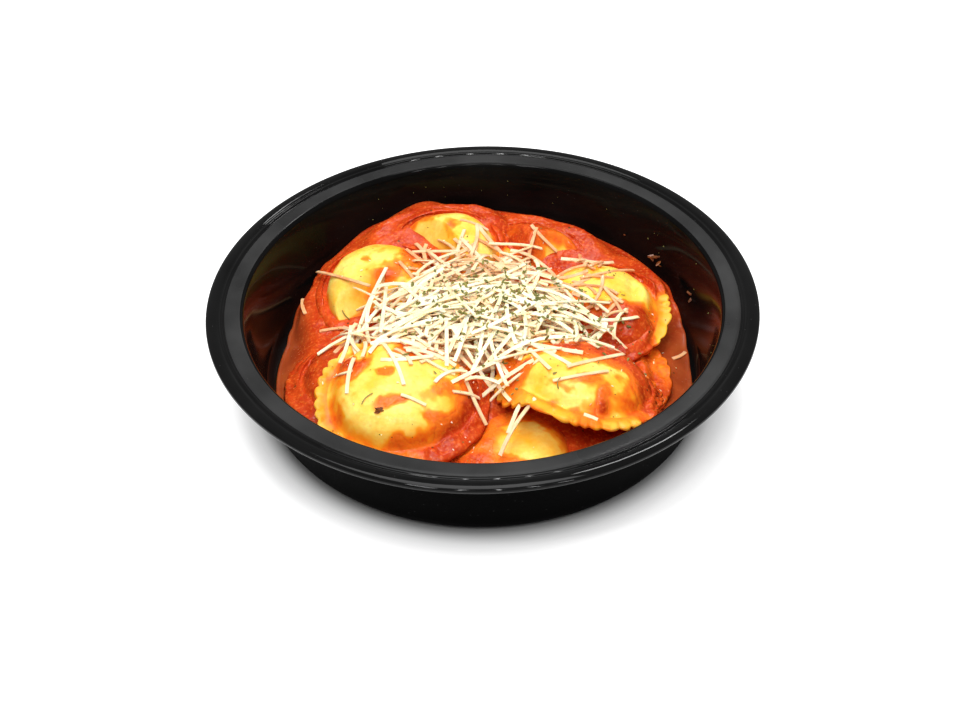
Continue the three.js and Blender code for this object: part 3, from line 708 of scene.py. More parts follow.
# %% Sizes of each raviolo
# Each row's lean is a tilt in degrees, down towards the direction called to. Marks are x, y,
# two radii, direction in degrees and depth. Coats are x, y, two radii, direction and strength
# of the sauce on it, below 0 where the dough shows, and base is the strength everywhere else.
# Groove is the sauce between dome and rim, and rim_coat the sauce on the rim. Crimp is how
# deep the fluting is, where 1 is usual. Bare_rim, sunk_rim and banks each give a direction
# and half a width, in degrees: where the rim shows its dough, where it sinks away with its
# fluting hidden, and where the pool is heaped over it.
RAVIOLI = [
    {
        "name": "ravioli_front_left", "at": (-27, -31, 18), "lean": 10, "to": -78,
        "rim": 28.9, "dome": 22.3, "height": 13,
        "marks": [
            (-4, -10, 6.5, 3, 0, 0.9), (9, -14, 4, 2.5, -20, 0.8), (-9, 5, 5, 4, 20, 0.7),
            (3, 3, 9, 5, 60, -0.5),
        ],
        "base": -0.85, "groove": 0.45,
        "coats": [
            (24, -13, 7, 7, -30, 2.8), (25, 2, 5, 9, 0, 2.6), (13, -25, 9, 3.2, -20, 2.4),
            (17, -20, 6, 4.5, -40, 2.6), (-9, -27, 9, 2.4, 10, 2.2), (-18.5, 10, 3.2, 8, 25, 2.0),
            (-13, 5, 2.2, 5.5, -30, 1.2), (-5.8, 1.5, 4.2, 2.4, 0, 0.95),
            (12.5, -3.5, 6, 4, 10, 1.0), (-4.5, -9.8, 6, 2.7, 5, 1.15),
            (0.5, -8.5, 2.6, 2.2, 0, 0.5), (8.8, -14, 3.6, 2.6, 0, 1.05),
            (-1.5, -20.5, 3.2, 1.8, 0, 0.9), (4, 9.5, 8, 4, 0, 1.0), (9, 16, 10, 5, 0, 1.0),
            (-20, -10, 3, 6, 0, 0.6),
        ],
        "bare_rim": [(178, 62)], "sunk_rim": [(-20, 75)],
    },
    {
        "name": "ravioli_front_right", "at": (31, -26.5, 19.5), "lean": 18, "to": 45,
        "rim": 28.5, "dome": 21.5, "height": 11,
        "marks": [(-12, -16, 5, 2.5, -40, 0.7), (2, -12, 7, 4, 10, -0.5), (-6, -4, 6, 4, 0, 0.5)],
        "base": -0.85, "groove": 0.2,
        "coats": [
            (23, -7, 6, 14, 15, 2.6), (15, 5, 13, 9, 0, 2.6), (-7, 3, 9, 5.5, 5, 1.7),
            (-1, -13.5, 7, 2.8, 10, 1.15), (5, -19.5, 2.6, 4.4, 5, 1.75), (-20, -5, 4, 4, 0, 1.6),
            (-25, 2, 4, 4, 0, 1.4), (14, -11, 5, 4, 0, 0.4), (-9, -17.5, 9, 3.5, -25, -1.1),
            (12, -16, 4, 3, 30, 0.4),
        ],
        "bare_rim": [(-118, 64)], "crimp": 1.5,
    },
    {
        "name": "ravioli_left", "at": (-39.5, -12, 9), "lean": 6, "to": 150,
        "rim": 27.5, "dome": 21, "height": 10.5,
        "marks": [(-16, 6, 5, 4, 0, 0.6)],
        "base": 1.2, "groove": 0.5, "rim_coat": 1.3, "crimp": 0.3,
        "coats": [(-8, 16, 7, 4, -15, -2.9), (-2, 22, 4, 3, 0, -1.6)],
    },
    {
        "name": "ravioli_back_left", "at": (-36.5, 33, 12), "lean": 10, "to": 225,
        "rim": 26, "dome": 20, "height": 13,
        "marks": [(-9.3, -4.9, 4.5, 3, 30, 1.5), (-2, 5, 6, 3, 60, 0.7), (-10, 4, 4, 6, 0, -0.5)],
        "base": -0.95, "groove": 1.9, "rim_coat": 2.2, "crimp": 0.4,
        "coats": [(4.4, -2.2, 7.5, 4, 10, 1.5), (-3, 4, 3, 3, 0, 0.8), (14, 10, 6, 8, 0, 1.6)],
        "banks": [(185, 95)],
    },
    {
        "name": "ravioli_right", "at": (39, 20.5, 10), "lean": 7, "to": 200,
        "rim": 28, "dome": 21.5, "height": 12,
        "marks": [(19.5, 1, 2.4, 10, 0, -2.0), (14.5, 2, 1.8, 8, -5, 1.5), (3, 8, 7, 3, 20, 0.7)],
        "base": -0.9, "groove": 0.9, "rim_coat": 2.4,
        "coats": [(6, -14, 14, 7.5, 10, 2.7), (16, -13, 6, 5, 0, 2.1), (-6, -6, 6, 8, 0, 1.2)],
        "bare_rim": [(-16, 28), (112, 16)], "sunk_rim": [(80, 66)], "banks": [(56, 32)],
    },
    {
        "name": "ravioli_back", "at": (-13, 49.5, 15.5), "lean": 12, "to": -75,
        "rim": 24.5, "dome": 18.5, "height": 11.5,
        "marks": [(2.5, 4, 2.6, 7, 10, 0.9), (-5, 2, 4, 4, 0, -0.4)],
        "base": -0.85, "groove": 1.9, "rim_coat": 2.4,
        "coats": [
            (-19, 3, 5, 9, 0, 2.2), (-12, 17, 9, 4, -30, 2.4), (2.2, 4, 2.6, 6.5, 10, 0.85),
            (0, -13, 10, 3, 0, 1.4), (-8, 6, 5, 5, 0, -0.9), (9, 5, 4, 6, 0, -0.6),
        ],
        "bare_rim": [(2, 9)], "sunk_rim": [(95, 70)], "banks": [(112, 84)],
    },
    {
        "name": "ravioli_back_right", "at": (17, 48, 12), "lean": 10, "to": -100,
        "rim": 24, "dome": 18, "height": 10,
        "marks": [(7, -2, 4, 3, 0, 0.6)],
        "base": 0.75, "groove": 1.0,
        "coats": [(11.5, -1.5, 6.3, 7.2, 0, -3.9), (-5, -4, 4, 4, 0, -0.8)],
        "bare_rim": [(-25, 20)], "banks": [(75, 75)],
    },
    {
        "name": "ravioli_front", "at": (7, -45, 5), "lean": 3, "to": 90,
        "rim": 27.5, "dome": 20.5, "height": 10,
        "marks": [(-2, -8, 5, 3, 0, 0.5)],
        "base": 0.6, "groove": 1.4,
        "coats": [(9.5, -4, 11, 8, -10, -2.8)],
    },
    {
        "name": "ravioli_right_under", "at": (36, -8, 5.5), "lean": 0, "to": 0,
        "rim": 28.5, "dome": 21.5, "height": 9,
        "marks": [],
        "base": 0.55, "groove": 0.6, "crimp": 0.5,
        "coats": [(24, 4, 4, 6, 0, -0.9)],
    },
]
widths = [2 * row["rim"] for row in RAVIOLI]
print(len(RAVIOLI), "ravioli, rims", min(widths), "to", max(widths), "mm across")

# %% [markdown]
# The dome's outline is a rounded arch, evened out a little where it meets the rim. Its rim is
# fluted by the cutter: each lobe bulges out, and the dough dips between two of them. Dents,
# folds and soft noise then make it hand-made, and the underside is a shallow flat belly.

# %% Shape of a raviolo
RIM_HALF = 1.0  # half the thickness of the pressed rim, millimetres
BELLY, RIM_RISE = 1.9, 0.9  # how far the underside hangs down, and rises again to the rim
SCALLOPS = 34
SCALLOP_DEPTH = 1.1
AROUND = 272
DOME_RINGS, FLAT_RINGS, BELLY_RINGS = 46, 15, 10
TOP_RINGS = DOME_RINGS + FLAT_RINGS
SHARE_STEP = 0.004
EASING = 0.034  # how far the dome's foot is evened out, as a share of its radius

reach_table = np.arange(-1.3, 1.3, SHARE_STEP)
dome_table = np.sqrt(np.maximum(1 - np.abs(reach_table) ** 2.667, 0))
kernel = np.exp(-0.5 * (np.arange(-30, 31) * SHARE_STEP / EASING) ** 2)
dome_table = np.convolve(dome_table, kernel / kernel.sum(), mode="same")
print("the evened arch reaches", round(float(dome_table.max()), 3), "of the dome's height")

# %% [markdown]
# No two are alike. Each has its own lie, its own waves in the rim and a dome that isn't quite
# round. These follow from its row in the list and from its place there, so that each run
# gives the same food. Dents and folds are soft oval spots.


# %% What makes each raviolo its own
def seed_of(row):
    return 10 * (RAVIOLI.index(row) + 1)


def lie_of(row):
    """How a raviolo is turned, and the place of its middle."""
    lean, to = math.radians(row["lean"]), math.radians(row["to"])
    axis = Vector((-math.sin(to), math.cos(to), 0))
    return np.array(Matrix.Rotation(lean, 3, axis)), np.array(row["at"], float)


def rim_wave(row, angle):
    """How the soft rim rises and falls on its way round."""
    index = RAVIOLI.index(row)
    return 0.7 * np.sin(3 * angle + 1.7 * index) + 0.2 * np.sin(5 * angle + index)


def dome_radius(row, angle):
    """Radius of the filled dome, which is never quite round."""
    index = RAVIOLI.index(row)
    oval, lobes = np.cos(2 * angle + index), np.cos(3 * angle + 2 * index)
    return row["dome"] * (1 + 0.03 * oval + 0.02 * lobes)


def turned_from(angle, degrees):
    """How many degrees each direction is turned away from a given one."""
    return np.abs((np.degrees(angle) - degrees + 180) % 360 - 180)


def spots(x, y, rows):
    """Sum of soft oval spots, each with its own strength."""
    total = np.zeros(np.shape(x))
    for at_x, at_y, radius_x, radius_y, turn, strength in rows:
        c, s = math.cos(math.radians(turn)), math.sin(math.radians(turn))
        u = ((x - at_x) * c + (y - at_y) * s) / radius_x
        v = ((y - at_y) * c - (x - at_x) * s) / radius_y
        total += strength * np.exp(-(u * u + v * v))
    return total


four_ways = dome_radius(RAVIOLI[0], full_turn(4))
print("radius of the first dome in four directions, mm:", np.round(four_ways, 1))

# %% [markdown]
# The rings follow from that, in the raviolo's own frame. They run over the dome, out over
# the flat rim, round its lip and back in below. The fluting is full at the lip and fades
# towards the dome, where the cutter didn't reach.


# %% Rings of a raviolo
def raviolo_rings(row):
    """Rings of a raviolo in its own frame: outwards over the top, back in below."""
    seed, angle = seed_of(row), full_turn(AROUND)
    drift = 0.35 * np.sin(5 * angle + seed) + 0.25 * np.sin(9 * angle + 2 * seed)
    part = (SCALLOPS * angle / TAU + drift) % 1.0
    lobe = np.sin(np.pi * part) ** 0.8
    uneven = soft_noise(round_axis(1, angle, 0) * 20, 4, seed)
    crimp = row.get("crimp", 1.0) * np.ones(AROUND)
    for middle, half in row.get("sunk_rim", []):
        crimp *= 0.12 + 0.88 * ease(turned_from(angle, middle), half - 10, half + 10)
    edge = row["rim"] - crimp * SCALLOP_DEPTH * (1 - lobe) - 0.35 * np.abs(uneven)
    dome = dome_radius(row, angle)
    run = 1 - (1 - np.linspace(0, 1, DOME_RINGS + 1)[1:]) ** 1.5
    over_dome = np.outer(1.1 * run, dome)
    start = 1.1 * dome
    flat = start + np.outer(np.linspace(0, 1, FLAT_RINGS + 1)[1:], edge - 0.4 - start)
    radius = np.concatenate([over_dome, flat])
    x, y = radius * np.cos(angle), radius * np.sin(angle)
    z = RIM_HALF + (row["height"] - RIM_HALF) * np.interp(radius / dome, reach_table, dome_table)
    z += rim_wave(row, angle) * ease(radius, 0.75 * row["dome"], row["rim"])
    pinch = ease(radius, start, edge)
    z -= 0.75 * crimp * (1 - lobe) ** 1.3 * pinch + 0.25 * pinch
    z -= spots(x, y, row["marks"])
    grid = np.stack([x, y, z], -1)
    calm = ease(radius, 0, 6)
    z += 0.45 * soft_noise(grid, 8, seed + 1) + 0.16 * soft_noise(grid, 3, seed + 2) * calm
    z += 0.35 * soft_noise(grid, 3.4, seed + 3) * ease(radius, dome, 1.2 * dome)
    top = np.stack([x, y, z], -1)
    wave = rim_wave(row, angle)
    lip = [
        (edge - 0.1, wave + 0.35 - 0.5 * (1 - lobe)),
        (edge, wave - 0.1 - 0.3 * (1 - lobe)),
        (edge - 0.15, wave - 0.6),
    ]
    below = []
    for share in np.linspace(0, 1, BELLY_RINGS + 1)[:-1]:
        reach = (edge - 0.6) * (1 - share)
        depth = -BELLY / 2 - BELLY / 2 * ease(share, 0.0, 0.4)
        below.append((reach, wave * (1 - ease(share, 0, 0.5)) + depth))
    lower = [round_axis(reach, angle, height) for reach, height in lip + below]
    return np.concatenate([top, lower])


sample = raviolo_rings(RAVIOLI[0])
print("rings:", sample.shape, "height of the first dome:", round(sample[..., 2].max(), 1), "mm")

# %% [markdown]
# Soft dough gives way. Where one raviolo lies on another, the lower one is pushed down to
# just below the upper one's underside, with an eased limit instead of a hard one, so that no
# crease shows at the edge of the pressed place.

# %% Press the lower ravioli
PRESS_GAP = 0.35
PRESS_SOFTNESS = 0.5
PRESS_SLOPE = 1.4  # how fast the limit rises outside the upper one's rim
PRESS_REACH = 14  # how far outside that rim it still counts


def underside(row, local):
    """Height of a raviolo's underside in its own frame."""
    radius, angle = polar(local)
    outer = ease(radius, 0.5 * row["dome"], row["rim"])
    return -BELLY + RIM_RISE * outer + rim_wave(row, angle) * outer


def press_under(points, row, extra):
    """Pushes points below the ravioli that lie on this one."""
    for upper in RAVIOLI[: RAVIOLI.index(row)]:
        spin, at = lie_of(upper)
        local = (points - at) @ spin
        radius, height = np.hypot(local[..., 0], local[..., 1]), local[..., 2]
        limit = underside(upper, local) - PRESS_GAP - extra
        limit = limit + PRESS_SLOPE * np.maximum(radius - upper["rim"] - 0.4, 0)
        eased = np.logaddexp(-height / PRESS_SOFTNESS, -limit / PRESS_SOFTNESS)
        lowered = np.minimum(-PRESS_SOFTNESS * eased, height)
        local[..., 2] = np.where(radius < upper["rim"] + PRESS_REACH, lowered, height)
        points = local @ spin.T + at
    return points


spin, at = lie_of(RAVIOLI[-1])
free = raviolo_rings(RAVIOLI[-1]) @ spin.T + at
pressed = press_under(free, RAVIOLI[-1], 0)
print("the lowest one is pressed in by up to", round(np.max(free - pressed), 1), "mm")

# %% [markdown]
# ## Where the sauce covers the pasta
# A ladle of sauce leaves some domes bare and drowns others. Each raviolo's row names its
# coats, and this cell turns them into one number over its surface: above 0 there is sauce,
# below 0 there is dough. The same number stains the dough near a coat, and the waterline
# adds its own stain, so coats and colour always agree. The flanks of each dome are tinted
# orange too, partly as stain and partly as painted shade.

# %% Sauce cover and stain
BARE_FADE = 12  # degrees over which a bare stretch of rim ends


def in_groove(radius, dome):
    """How much of a point is in the groove between dome and rim, from 0 to 1."""
    return np.exp(-(((radius - dome - 1.6) / 1.9) ** 2))


def cover_of(row, local):
    """Strength of the sauce on a raviolo, above 0 where sauce lies on it."""
    seed = seed_of(row)
    radius, angle = polar(local)
    total = row["base"] + spots(local[..., 0], local[..., 1], row["coats"])
    dome = dome_radius(row, angle)
    bare = np.zeros(np.shape(radius))
    for middle, half in row.get("bare_rim", []):
        away = ease(turned_from(angle, middle), half - BARE_FADE, half + BARE_FADE)
        bare = np.maximum(bare, 1 - away)
    total = total + row["groove"] * (1 - bare) * in_groove(radius, dome)
    total = total + row.get("rim_coat", 0.0) * (1 - bare) * ease(radius, dome + 0.5, dome + 2.5)
    total = total - 1.5 * bare * ease(radius, dome + 2.0, dome + 3.4)
    coarse, fine = soft_noise(local, 3.2, seed + 5), soft_noise(local, 1.3, seed + 6)
    return total + 0.38 * coarse + 0.18 * fine


def stain_and_shade_of(row, local, world, cover):
    """How far the dough is tinted orange, from 0 to 1: by sauce it took up, and on the flanks as
    painted shade.
    """
    seed = seed_of(row)
    radius, angle = polar(local)
    dome = dome_radius(row, angle)
    near = 0.85 * ease(cover, -0.65, 0.25)
    drift = lumps_of(local, (1.0, 8.0, seed + 7), (0.5, 3.6, seed + 4), (0.25, 1.5, seed + 3))
    patches = 0.38 * ease(drift, 0.15, 0.85)
    # Orange on the dome's flanks: partly stain, partly painted shade where the sides turn from the
    # light.
    sides = 0.42 * ease(radius / dome, 0.74, 1.02) * ease(drift, -1.1, 0.3)
    rim = 0.1 + 0.25 * in_groove(radius, dome)
    sides = np.where(radius > 1.08 * dome, np.minimum(sides, 0.2) + rim, sides)
    above = world[..., 2] - sauce_over(world[..., 0], world[..., 1])
    waterline = 0.85 * (1 - ease(above, 0.1, 2.4))
    wiped = 0.85 * ease(-cover, 1.1, 2.0) * ease(radius / dome, 1.12, 1.0)
    return np.clip(near + patches + sides + waterline - wiped, 0, 1)


def grid_normals(grid):
    """Outward normals over a grid of rings."""
    outwards = np.gradient(grid, axis=0)
    sideways = np.roll(grid, -1, axis=1) - np.roll(grid, 1, axis=1)
    normal = np.cross(outwards, sideways)
    return normal / np.maximum(np.linalg.norm(normal, axis=-1, keepdims=True), 1e-9)


print("cover of the first dome, middle:", round(float(cover_of(RAVIOLI[0], np.zeros(3))), 2))

# %% [markdown]
# Now the nine are made, the uppermost first. The thickness of the sauce on each is worked
# out here too, because the coats and the shreds of cheese both need it: a thin layer, a thick
# one where the ladle emptied, and a full groove round the dome.

# %% Build the ravioli
COAT_THICKNESS, LADLE_THICKNESS, GROOVE_FILL = 0.45, 0.9, 1.3
TUCK = 0.35  # how far a coat's edge dips into the dough
HIDDEN_STAIN = 0.8
UNDER_GAP = 1.6  # keeps the underside of a pressed one clear of its top


def coat_thickness(row, local, covered):
    """Thickness of the sauce over a raviolo, below 0 where its edge dips into the dough."""
    radius, angle = polar(local)
    thick = COAT_THICKNESS * ease(covered, 0.0, 1.1) + LADLE_THICKNESS * ease(covered, 0.9, 2.4)
    groove = np.exp(-(((radius - dome_radius(row, angle) - 1.8) / 2.2) ** 2))
    thick += GROOVE_FILL * groove * ease(covered, 1.0, 2.2)
    lumps = lumps_of(local, (0.11, 2.4, seed_of(row) + 8), (0.05, 1.2, seed_of(row) + 9))
    thick = thick + (lumps + 0.1) * ease(covered, 0.05, 0.5)
    return np.where(covered < 0, np.maximum(2.0 * covered, -TUCK), thick)


tops = []
coats = []
for row in RAVIOLI:
    rings = raviolo_rings(row)
    spin, at = lie_of(row)
    extra = np.where(np.arange(len(rings)) < TOP_RINGS + 2, 0.0, UNDER_GAP)[:, None]
    world = press_under(rings @ spin.T + at, row, extra)
    cover = cover_of(row, rings)
    stain_and_shade = stain_and_shade_of(row, rings, world, cover)
    points = np.concatenate([[world[0].mean(0)], world.reshape(-1, 3), [world[-1].mean(0)]])
    stain_and_shade_values = np.concatenate([[stain_and_shade[0].mean()], stain_and_shade.ravel(), [HIDDEN_STAIN]])
    faces = ring_faces(len(world), AROUND)
    numbers = {"stain_and_shade": stain_and_shade_values}
    piece = make_piece(row["name"] + "_pasta", points, faces, pasta_finish, values=numbers)
    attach(piece, "root")
    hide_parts(row["name"])
    top = world[: TOP_RINGS + 1]
    normal = grid_normals(world)[: TOP_RINGS + 1]
    covered = cover[: TOP_RINGS + 1]
    thick = coat_thickness(row, rings[: TOP_RINGS + 1], covered)
    coated = top + normal * thick[..., None]
    coats.append({"row": row, "top": top, "normal": normal, "cover": covered, "coated": coated})
    tops.append(top)
    tops.append(np.where((covered > 0)[..., None], coated, top))
    span = np.round([world[..., 2].min(), world[..., 2].max()], 1)
    print(row["name"], count_triangles(piece), "triangles, lowest and highest", span)

# %% [markdown]
# ## The sauce
# The pool is one closed body, from the floor of the bowl up to its uneven surface, and it
# reaches just into the wall, so that no dark line shows between. Pulp stands up from it as
# small lumps where it is thick, and where it runs thin it is smooth and browner.

# %% Surface of the pool
BANK_HEIGHT = 2.5
BANK_FADE = 14  # degrees over which a bank ends
FULL_COLOUR_DEPTH = 9.0  # millimetres of sauce that hide the black floor
INTO_WALL = 0.15
POOL_FLOOR = SHELL + 0.05
POOL_STEPS, POOL_RINGS = 400, 130


def heaped_on_rims(x, y, z, share):
    """The sauce heaped over the rims of the ravioli that it half buries."""
    for row in RAVIOLI:
        spin, at = lie_of(row)
        for middle, half in row.get("banks", []):
            local = (np.stack([x, y, z], -1) - at) @ spin
            radius, angle = polar(local)
            near = ease(radius, row["rim"] + 10, row["rim"] + 1)
            near *= ease(turned_from(angle, middle), half + BANK_FADE, half - BANK_FADE)
            flat = local * np.array([1, 1, 0])
            lumps = lumps_of(flat, (0.5, 5.0, 311), (0.2, 2.2, 312), (0.07, 1.1, 313))
            missing = np.maximum(BANK_HEIGHT + lumps - local[..., 2], 0)
            z = z + missing / spin[2, 2] * near * share
    return z


angle = full_turn(POOL_STEPS)
shore_height = sauce_height(angle, np.ones(POOL_STEPS))
part = (np.arange(POOL_RINGS) + 1) / POOL_RINGS
part = part[:, None] * np.ones(POOL_STEPS)
reach = inside_radius(shore_height) + INTO_WALL
x, y = part * reach * np.cos(angle), part * reach * np.sin(angle)
base = sauce_height(angle[None, :] + 0 * part, part)
depth = np.clip((base - SHELL) / FULL_COLOUR_DEPTH, 0, 1)
pulp = lumps_of(np.stack([x, y, 0 * x], -1), (0.4, 6.0, 301), (0.16, 2.4, 302), (0.07, 1.2, 303))
meniscus = 0.5 * np.exp(-(1 - part) * reach / 0.7)
z = base + pulp * ease(depth, 0.35, 0.8) * ease(1 - part, 0.0, 0.03) + meniscus
z = heaped_on_rims(x, y, z, ease(1 - part, 0.0, 0.05))
surface = np.stack([x, y, z], -1)
print("surface of the pool, highest", round(z.max(), 1), "mm")

# %% [markdown]
# The surface alone would be an open sheet. A few rings down the wall, one on the floor and a
# pole under the middle close it. The wall's rings carry the colour of the shore above them.

# %% Close the pool
wall = []
for share in (0.75, 0.5, 0.3, 0.12, 0.0):
    height = POOL_FLOOR + (shore_height - SHELL) * share
    wall.append(round_axis(inside_radius(height) + INTO_WALL, angle, height))
floor_ring = wall[-1] * np.array([0.5, 0.5, 1])
rings = np.concatenate([surface, wall, [floor_ring]])
points = np.concatenate([[[0, 0, SAUCE_MIDDLE]], rings.reshape(-1, 3), [[0, 0, POOL_FLOOR]]])
depths = np.concatenate([[1], depth.ravel(), np.tile(depth[-1], len(wall) + 1), [1]])
faces = ring_faces(len(rings), POOL_STEPS)
pool = make_piece("sauce_pool", points, faces, sauce_finish, values={"depth": depths})
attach(pool, "root")
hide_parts("sauce")
tops.append(surface)
print("pool:", count_triangles(pool), "triangles")

# %% [markdown]
# ## Sauce on the pasta
# The coats are patches of the pasta's own surface, lifted by their thickness and closed
# underneath. At a coat's edge the patch dips into the dough, so the sauce seems to cling
# there. This is better than colour alone, because the sauce has a body that catches light.

# %% Coats of sauce
PATCH_EDGE = -0.1  # cover at which a patch ends, inside the dough
DROWNED = 2.5  # no coat is made this far below the pool's surface, in millimetres


def closed_patch(upper, lower, keep, film):
    """A closed thin body between two grids of rings, over the kept cells."""
    count = upper.shape[1]
    upper, lower = upper.reshape(-1, 3), lower.reshape(-1, 3)
    ring, cell = np.nonzero(keep)
    after = (cell + 1) % count
    near, far = ring * count, (ring + 1) * count
    quads = np.stack([near + cell, far + cell, far + after, near + after], -1)
    edges = np.concatenate([quads[:, [k, (k + 1) % 4]] for k in range(4)])
    reverse = {(int(q), int(p)) for p, q in edges}
    border = np.array([(p, q) for p, q in edges.tolist() if (p, q) not in reverse])
    start, end, shift = border[:, 0], border[:, 1], len(upper)
    sides = np.stack([end, start, start + shift, end + shift], -1)
    faces = np.concatenate([quads, quads[:, ::-1] + shift, sides])
    used, inverse = np.unique(faces, return_inverse=True)
    points = np.concatenate([upper, lower])[used]
    return points, inverse.reshape(faces.shape), np.tile(film.ravel(), 2)[used]


total = 0
for coat in coats:
    cover, top = coat["cover"], coat["top"]
    wet = np.maximum(cover, np.roll(cover, -1, 1))
    keep = np.maximum(wet[:-1], wet[1:]) > PATCH_EDGE
    deep = top[..., 2] < sauce_over(top[..., 0], top[..., 1]) - DROWNED
    keep &= ~(deep[:-1] & deep[1:])
    lower = top - coat["normal"] * (TUCK + 0.15)
    thin_film = 1 - ease(cover, 0.1, 0.95)
    points, faces, film = closed_patch(coat["coated"], lower, keep, thin_film)
    numbers = {"depth": np.ones(len(points)), "film": film}
    name = "sauce_on_" + coat["row"]["name"]
    piece = make_piece(name, points, faces, sauce_finish, values=numbers)
    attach(piece, "root")
    total += count_triangles(piece)
print(len(coats), "coats of sauce,", total, "triangles")

# %% [markdown]
# ## A map of the ground
# Shreds and flakes fall on whatever is there, so they need to know its height. The rings of
# pasta and sauce are spread onto a fine square grid that keeps the highest value in each
# cell. Reading a grid is far quicker than casting a ray for every shred.

# %% Height map
CELL = 0.5  # millimetres
SIDE = int(2 * RIM_RADIUS / CELL) + 1


def to_cell(value):
    cell = np.rint((np.asarray(value) + RIM_RADIUS) / CELL).astype(int)
    return np.clip(cell, 0, SIDE - 1)


def read_ground(grid, x, y):
    return grid[to_cell(x), to_cell(y)]


def raise_ground(points):
    """Raises the map to a grid of rings, with the points between its own filled in."""
    points = np.concatenate([points, 0.5 * (points + np.roll(points, -1, 1))], 1)
    points = np.concatenate([points, 0.5 * (points[:-1] + points[1:])], 0)
    x, y, height = np.moveaxis(points, -1, 0)
    np.maximum.at(ground, (to_cell(x), to_cell(y)), height)


ground = np.full((SIDE, SIDE), SHELL)
for rings in tops:
    raise_ground(rings)
bare_ground = ground.copy()
print("highest food:", round(ground.max(), 1), "mm, cells", ground.shape)

# %% [markdown]
# ## The cheese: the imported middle
# Deep in the heap the shreds are matted into one mass. Drawing each of those hidden shreds
# would waste faces, so the middle is a lumpy blanket that lies on the food, thick in the
# middle and thin at its edge. The loose shreds then only have to cover it.

# %% Middle of the heap
HEAP_AT = (-2.0, 2.0)
HEAP_HALF = (30.5, 20.0)
CORE_TOP = 29.9  # a shred or two below the top of the heap
CORE_FOOT = 14.0
CORE_STEPS, CORE_RINGS = 150, 40


def blurred(grid, cells):
    """A grid evened out over a square of cells, in both directions."""
    width = 2 * cells + 1
    for axis in (0, 1):
        before = np.repeat(np.take(grid, [0], axis), width, axis)
        sums = np.cumsum(np.concatenate([before, grid], axis), axis)
        ends = np.take(sums, range(width, sums.shape[axis]), axis)
        starts = np.take(sums, range(0, sums.shape[axis] - width), axis)
        grid = np.roll((ends - starts) / width, -cells, axis)
    return grid


even_ground = blurred(blurred(ground, 7), 5)
angle = full_turn(CORE_STEPS)
part = (np.arange(CORE_RINGS) + 1)[:, None] / CORE_RINGS * np.ones(CORE_STEPS)
reach = part * (1 + 0.1 * np.sin(3 * angle + 1) + 0.07 * np.sin(5 * angle))
x = HEAP_AT[0] + HEAP_HALF[0] * reach * np.cos(angle)
y = HEAP_AT[1] + HEAP_HALF[1] * reach * np.sin(angle)
flat = np.stack([x, y, 0 * x], -1)
thickness = 9.0 - 9.0 * part**2 + 0.9 * soft_noise(flat, 4, 401) + 0.5 * soft_noise(flat, 1.6, 402)
food = read_ground(ground, x, y)
support = np.maximum(read_ground(even_ground, x, y), food)
lift = np.where(part > 0.97, -0.4, np.maximum(thickness, 0.1))
cap = np.maximum(CORE_TOP + 0.4 * soft_noise(flat, 3, 403), food + 0.1)
top = np.stack([x, y, np.minimum(support + lift, cap)], -1)
bottom = top[-1] - np.array([0, 0, 1.5])
poles = [[(*HEAP_AT, top[0, :, 2].mean())], [(*HEAP_AT, CORE_FOOT)]]
points = np.concatenate([poles[0], top.reshape(-1, 3), bottom, poles[1]])
faces = ring_faces(CORE_RINGS + 1, CORE_STEPS)
# The middle is marked wholly wet: its peach is partly soaked cheese, partly painted shade between
# the shreds.
core = make_piece("cheese_core", points, faces, cheese_finish, values={"wet": np.ones(len(points))})
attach(core, "root")
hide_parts("cheese")
raise_ground(top)
print("middle of the heap, highest", round(top[..., 2].max(), 1), "mm")

# %% [markdown]
# ## The cheese: where each shred lies
# A shred is a stiff strip. Dropped on uneven ground, it rests on the two highest points on
# either side of its middle, and its ends sag a little. Each new shred lands on the ones
# before, so a heap grows by itself. Shreds that lie on sauce are marked wet.

# %% Where a shred rests
STATIONS = 7  # points of a shred's line
FINE = np.linspace(-0.5, 0.5, 41)  # points at which it feels the ground
SHRED_WIDTH, SHRED_THICKNESS = 1.25, 0.42
STEEPEST = 0.7  # slope of a shred, height over length
SETTLE = 0.15  # how far it sinks into what it lies on
MOST_SAG = 4.0
REACH_OF_FOOD = 75.5
MOUND_TOP, DEPTH_ON_FOOD, HEAP_TOP = 33.8, 2.4, 35.3


def resting_line(along, heights):
    """Height at the middle and slope of the straight line that the ground holds up."""
    left, right = along < 0, along > 0
    start, end = along[left][:, None], along[right][None, :]
    low = heights[left][:, None]
    rise = (heights[right][None, :] - low) / (end - start)
    at_middle = low - rise * start
    best = np.unravel_index(np.argmax(at_middle), at_middle.shape)
    return at_middle[best], float(np.clip(rise[best], -STEEPEST, STEEPEST))


def heap_limit(x, y):
    """Highest that the cheese may stand: a low mound, or a few shreds deep on bare food."""
    mound = MOUND_TOP - 5.0 * np.hypot((x - HEAP_AT[0]) / 42, (y - HEAP_AT[1]) / 32) ** 2
    on_food = read_ground(bare_ground, x, y) + DEPTH_ON_FOOD
    return np.minimum(np.maximum(mound, on_food), HEAP_TOP)


flat_line = resting_line(FINE, np.zeros(len(FINE)))
print("on level ground a shred lies at", flat_line[0], "mm with slope", flat_line[1])

# %% [markdown]
# A dropped shred takes the line it rests on, and its ends bend down towards the ground. Then
# the map is raised under it, so that the next shred lies on top. One that would stand higher
# than the heap may, or reach the wall, isn't laid.


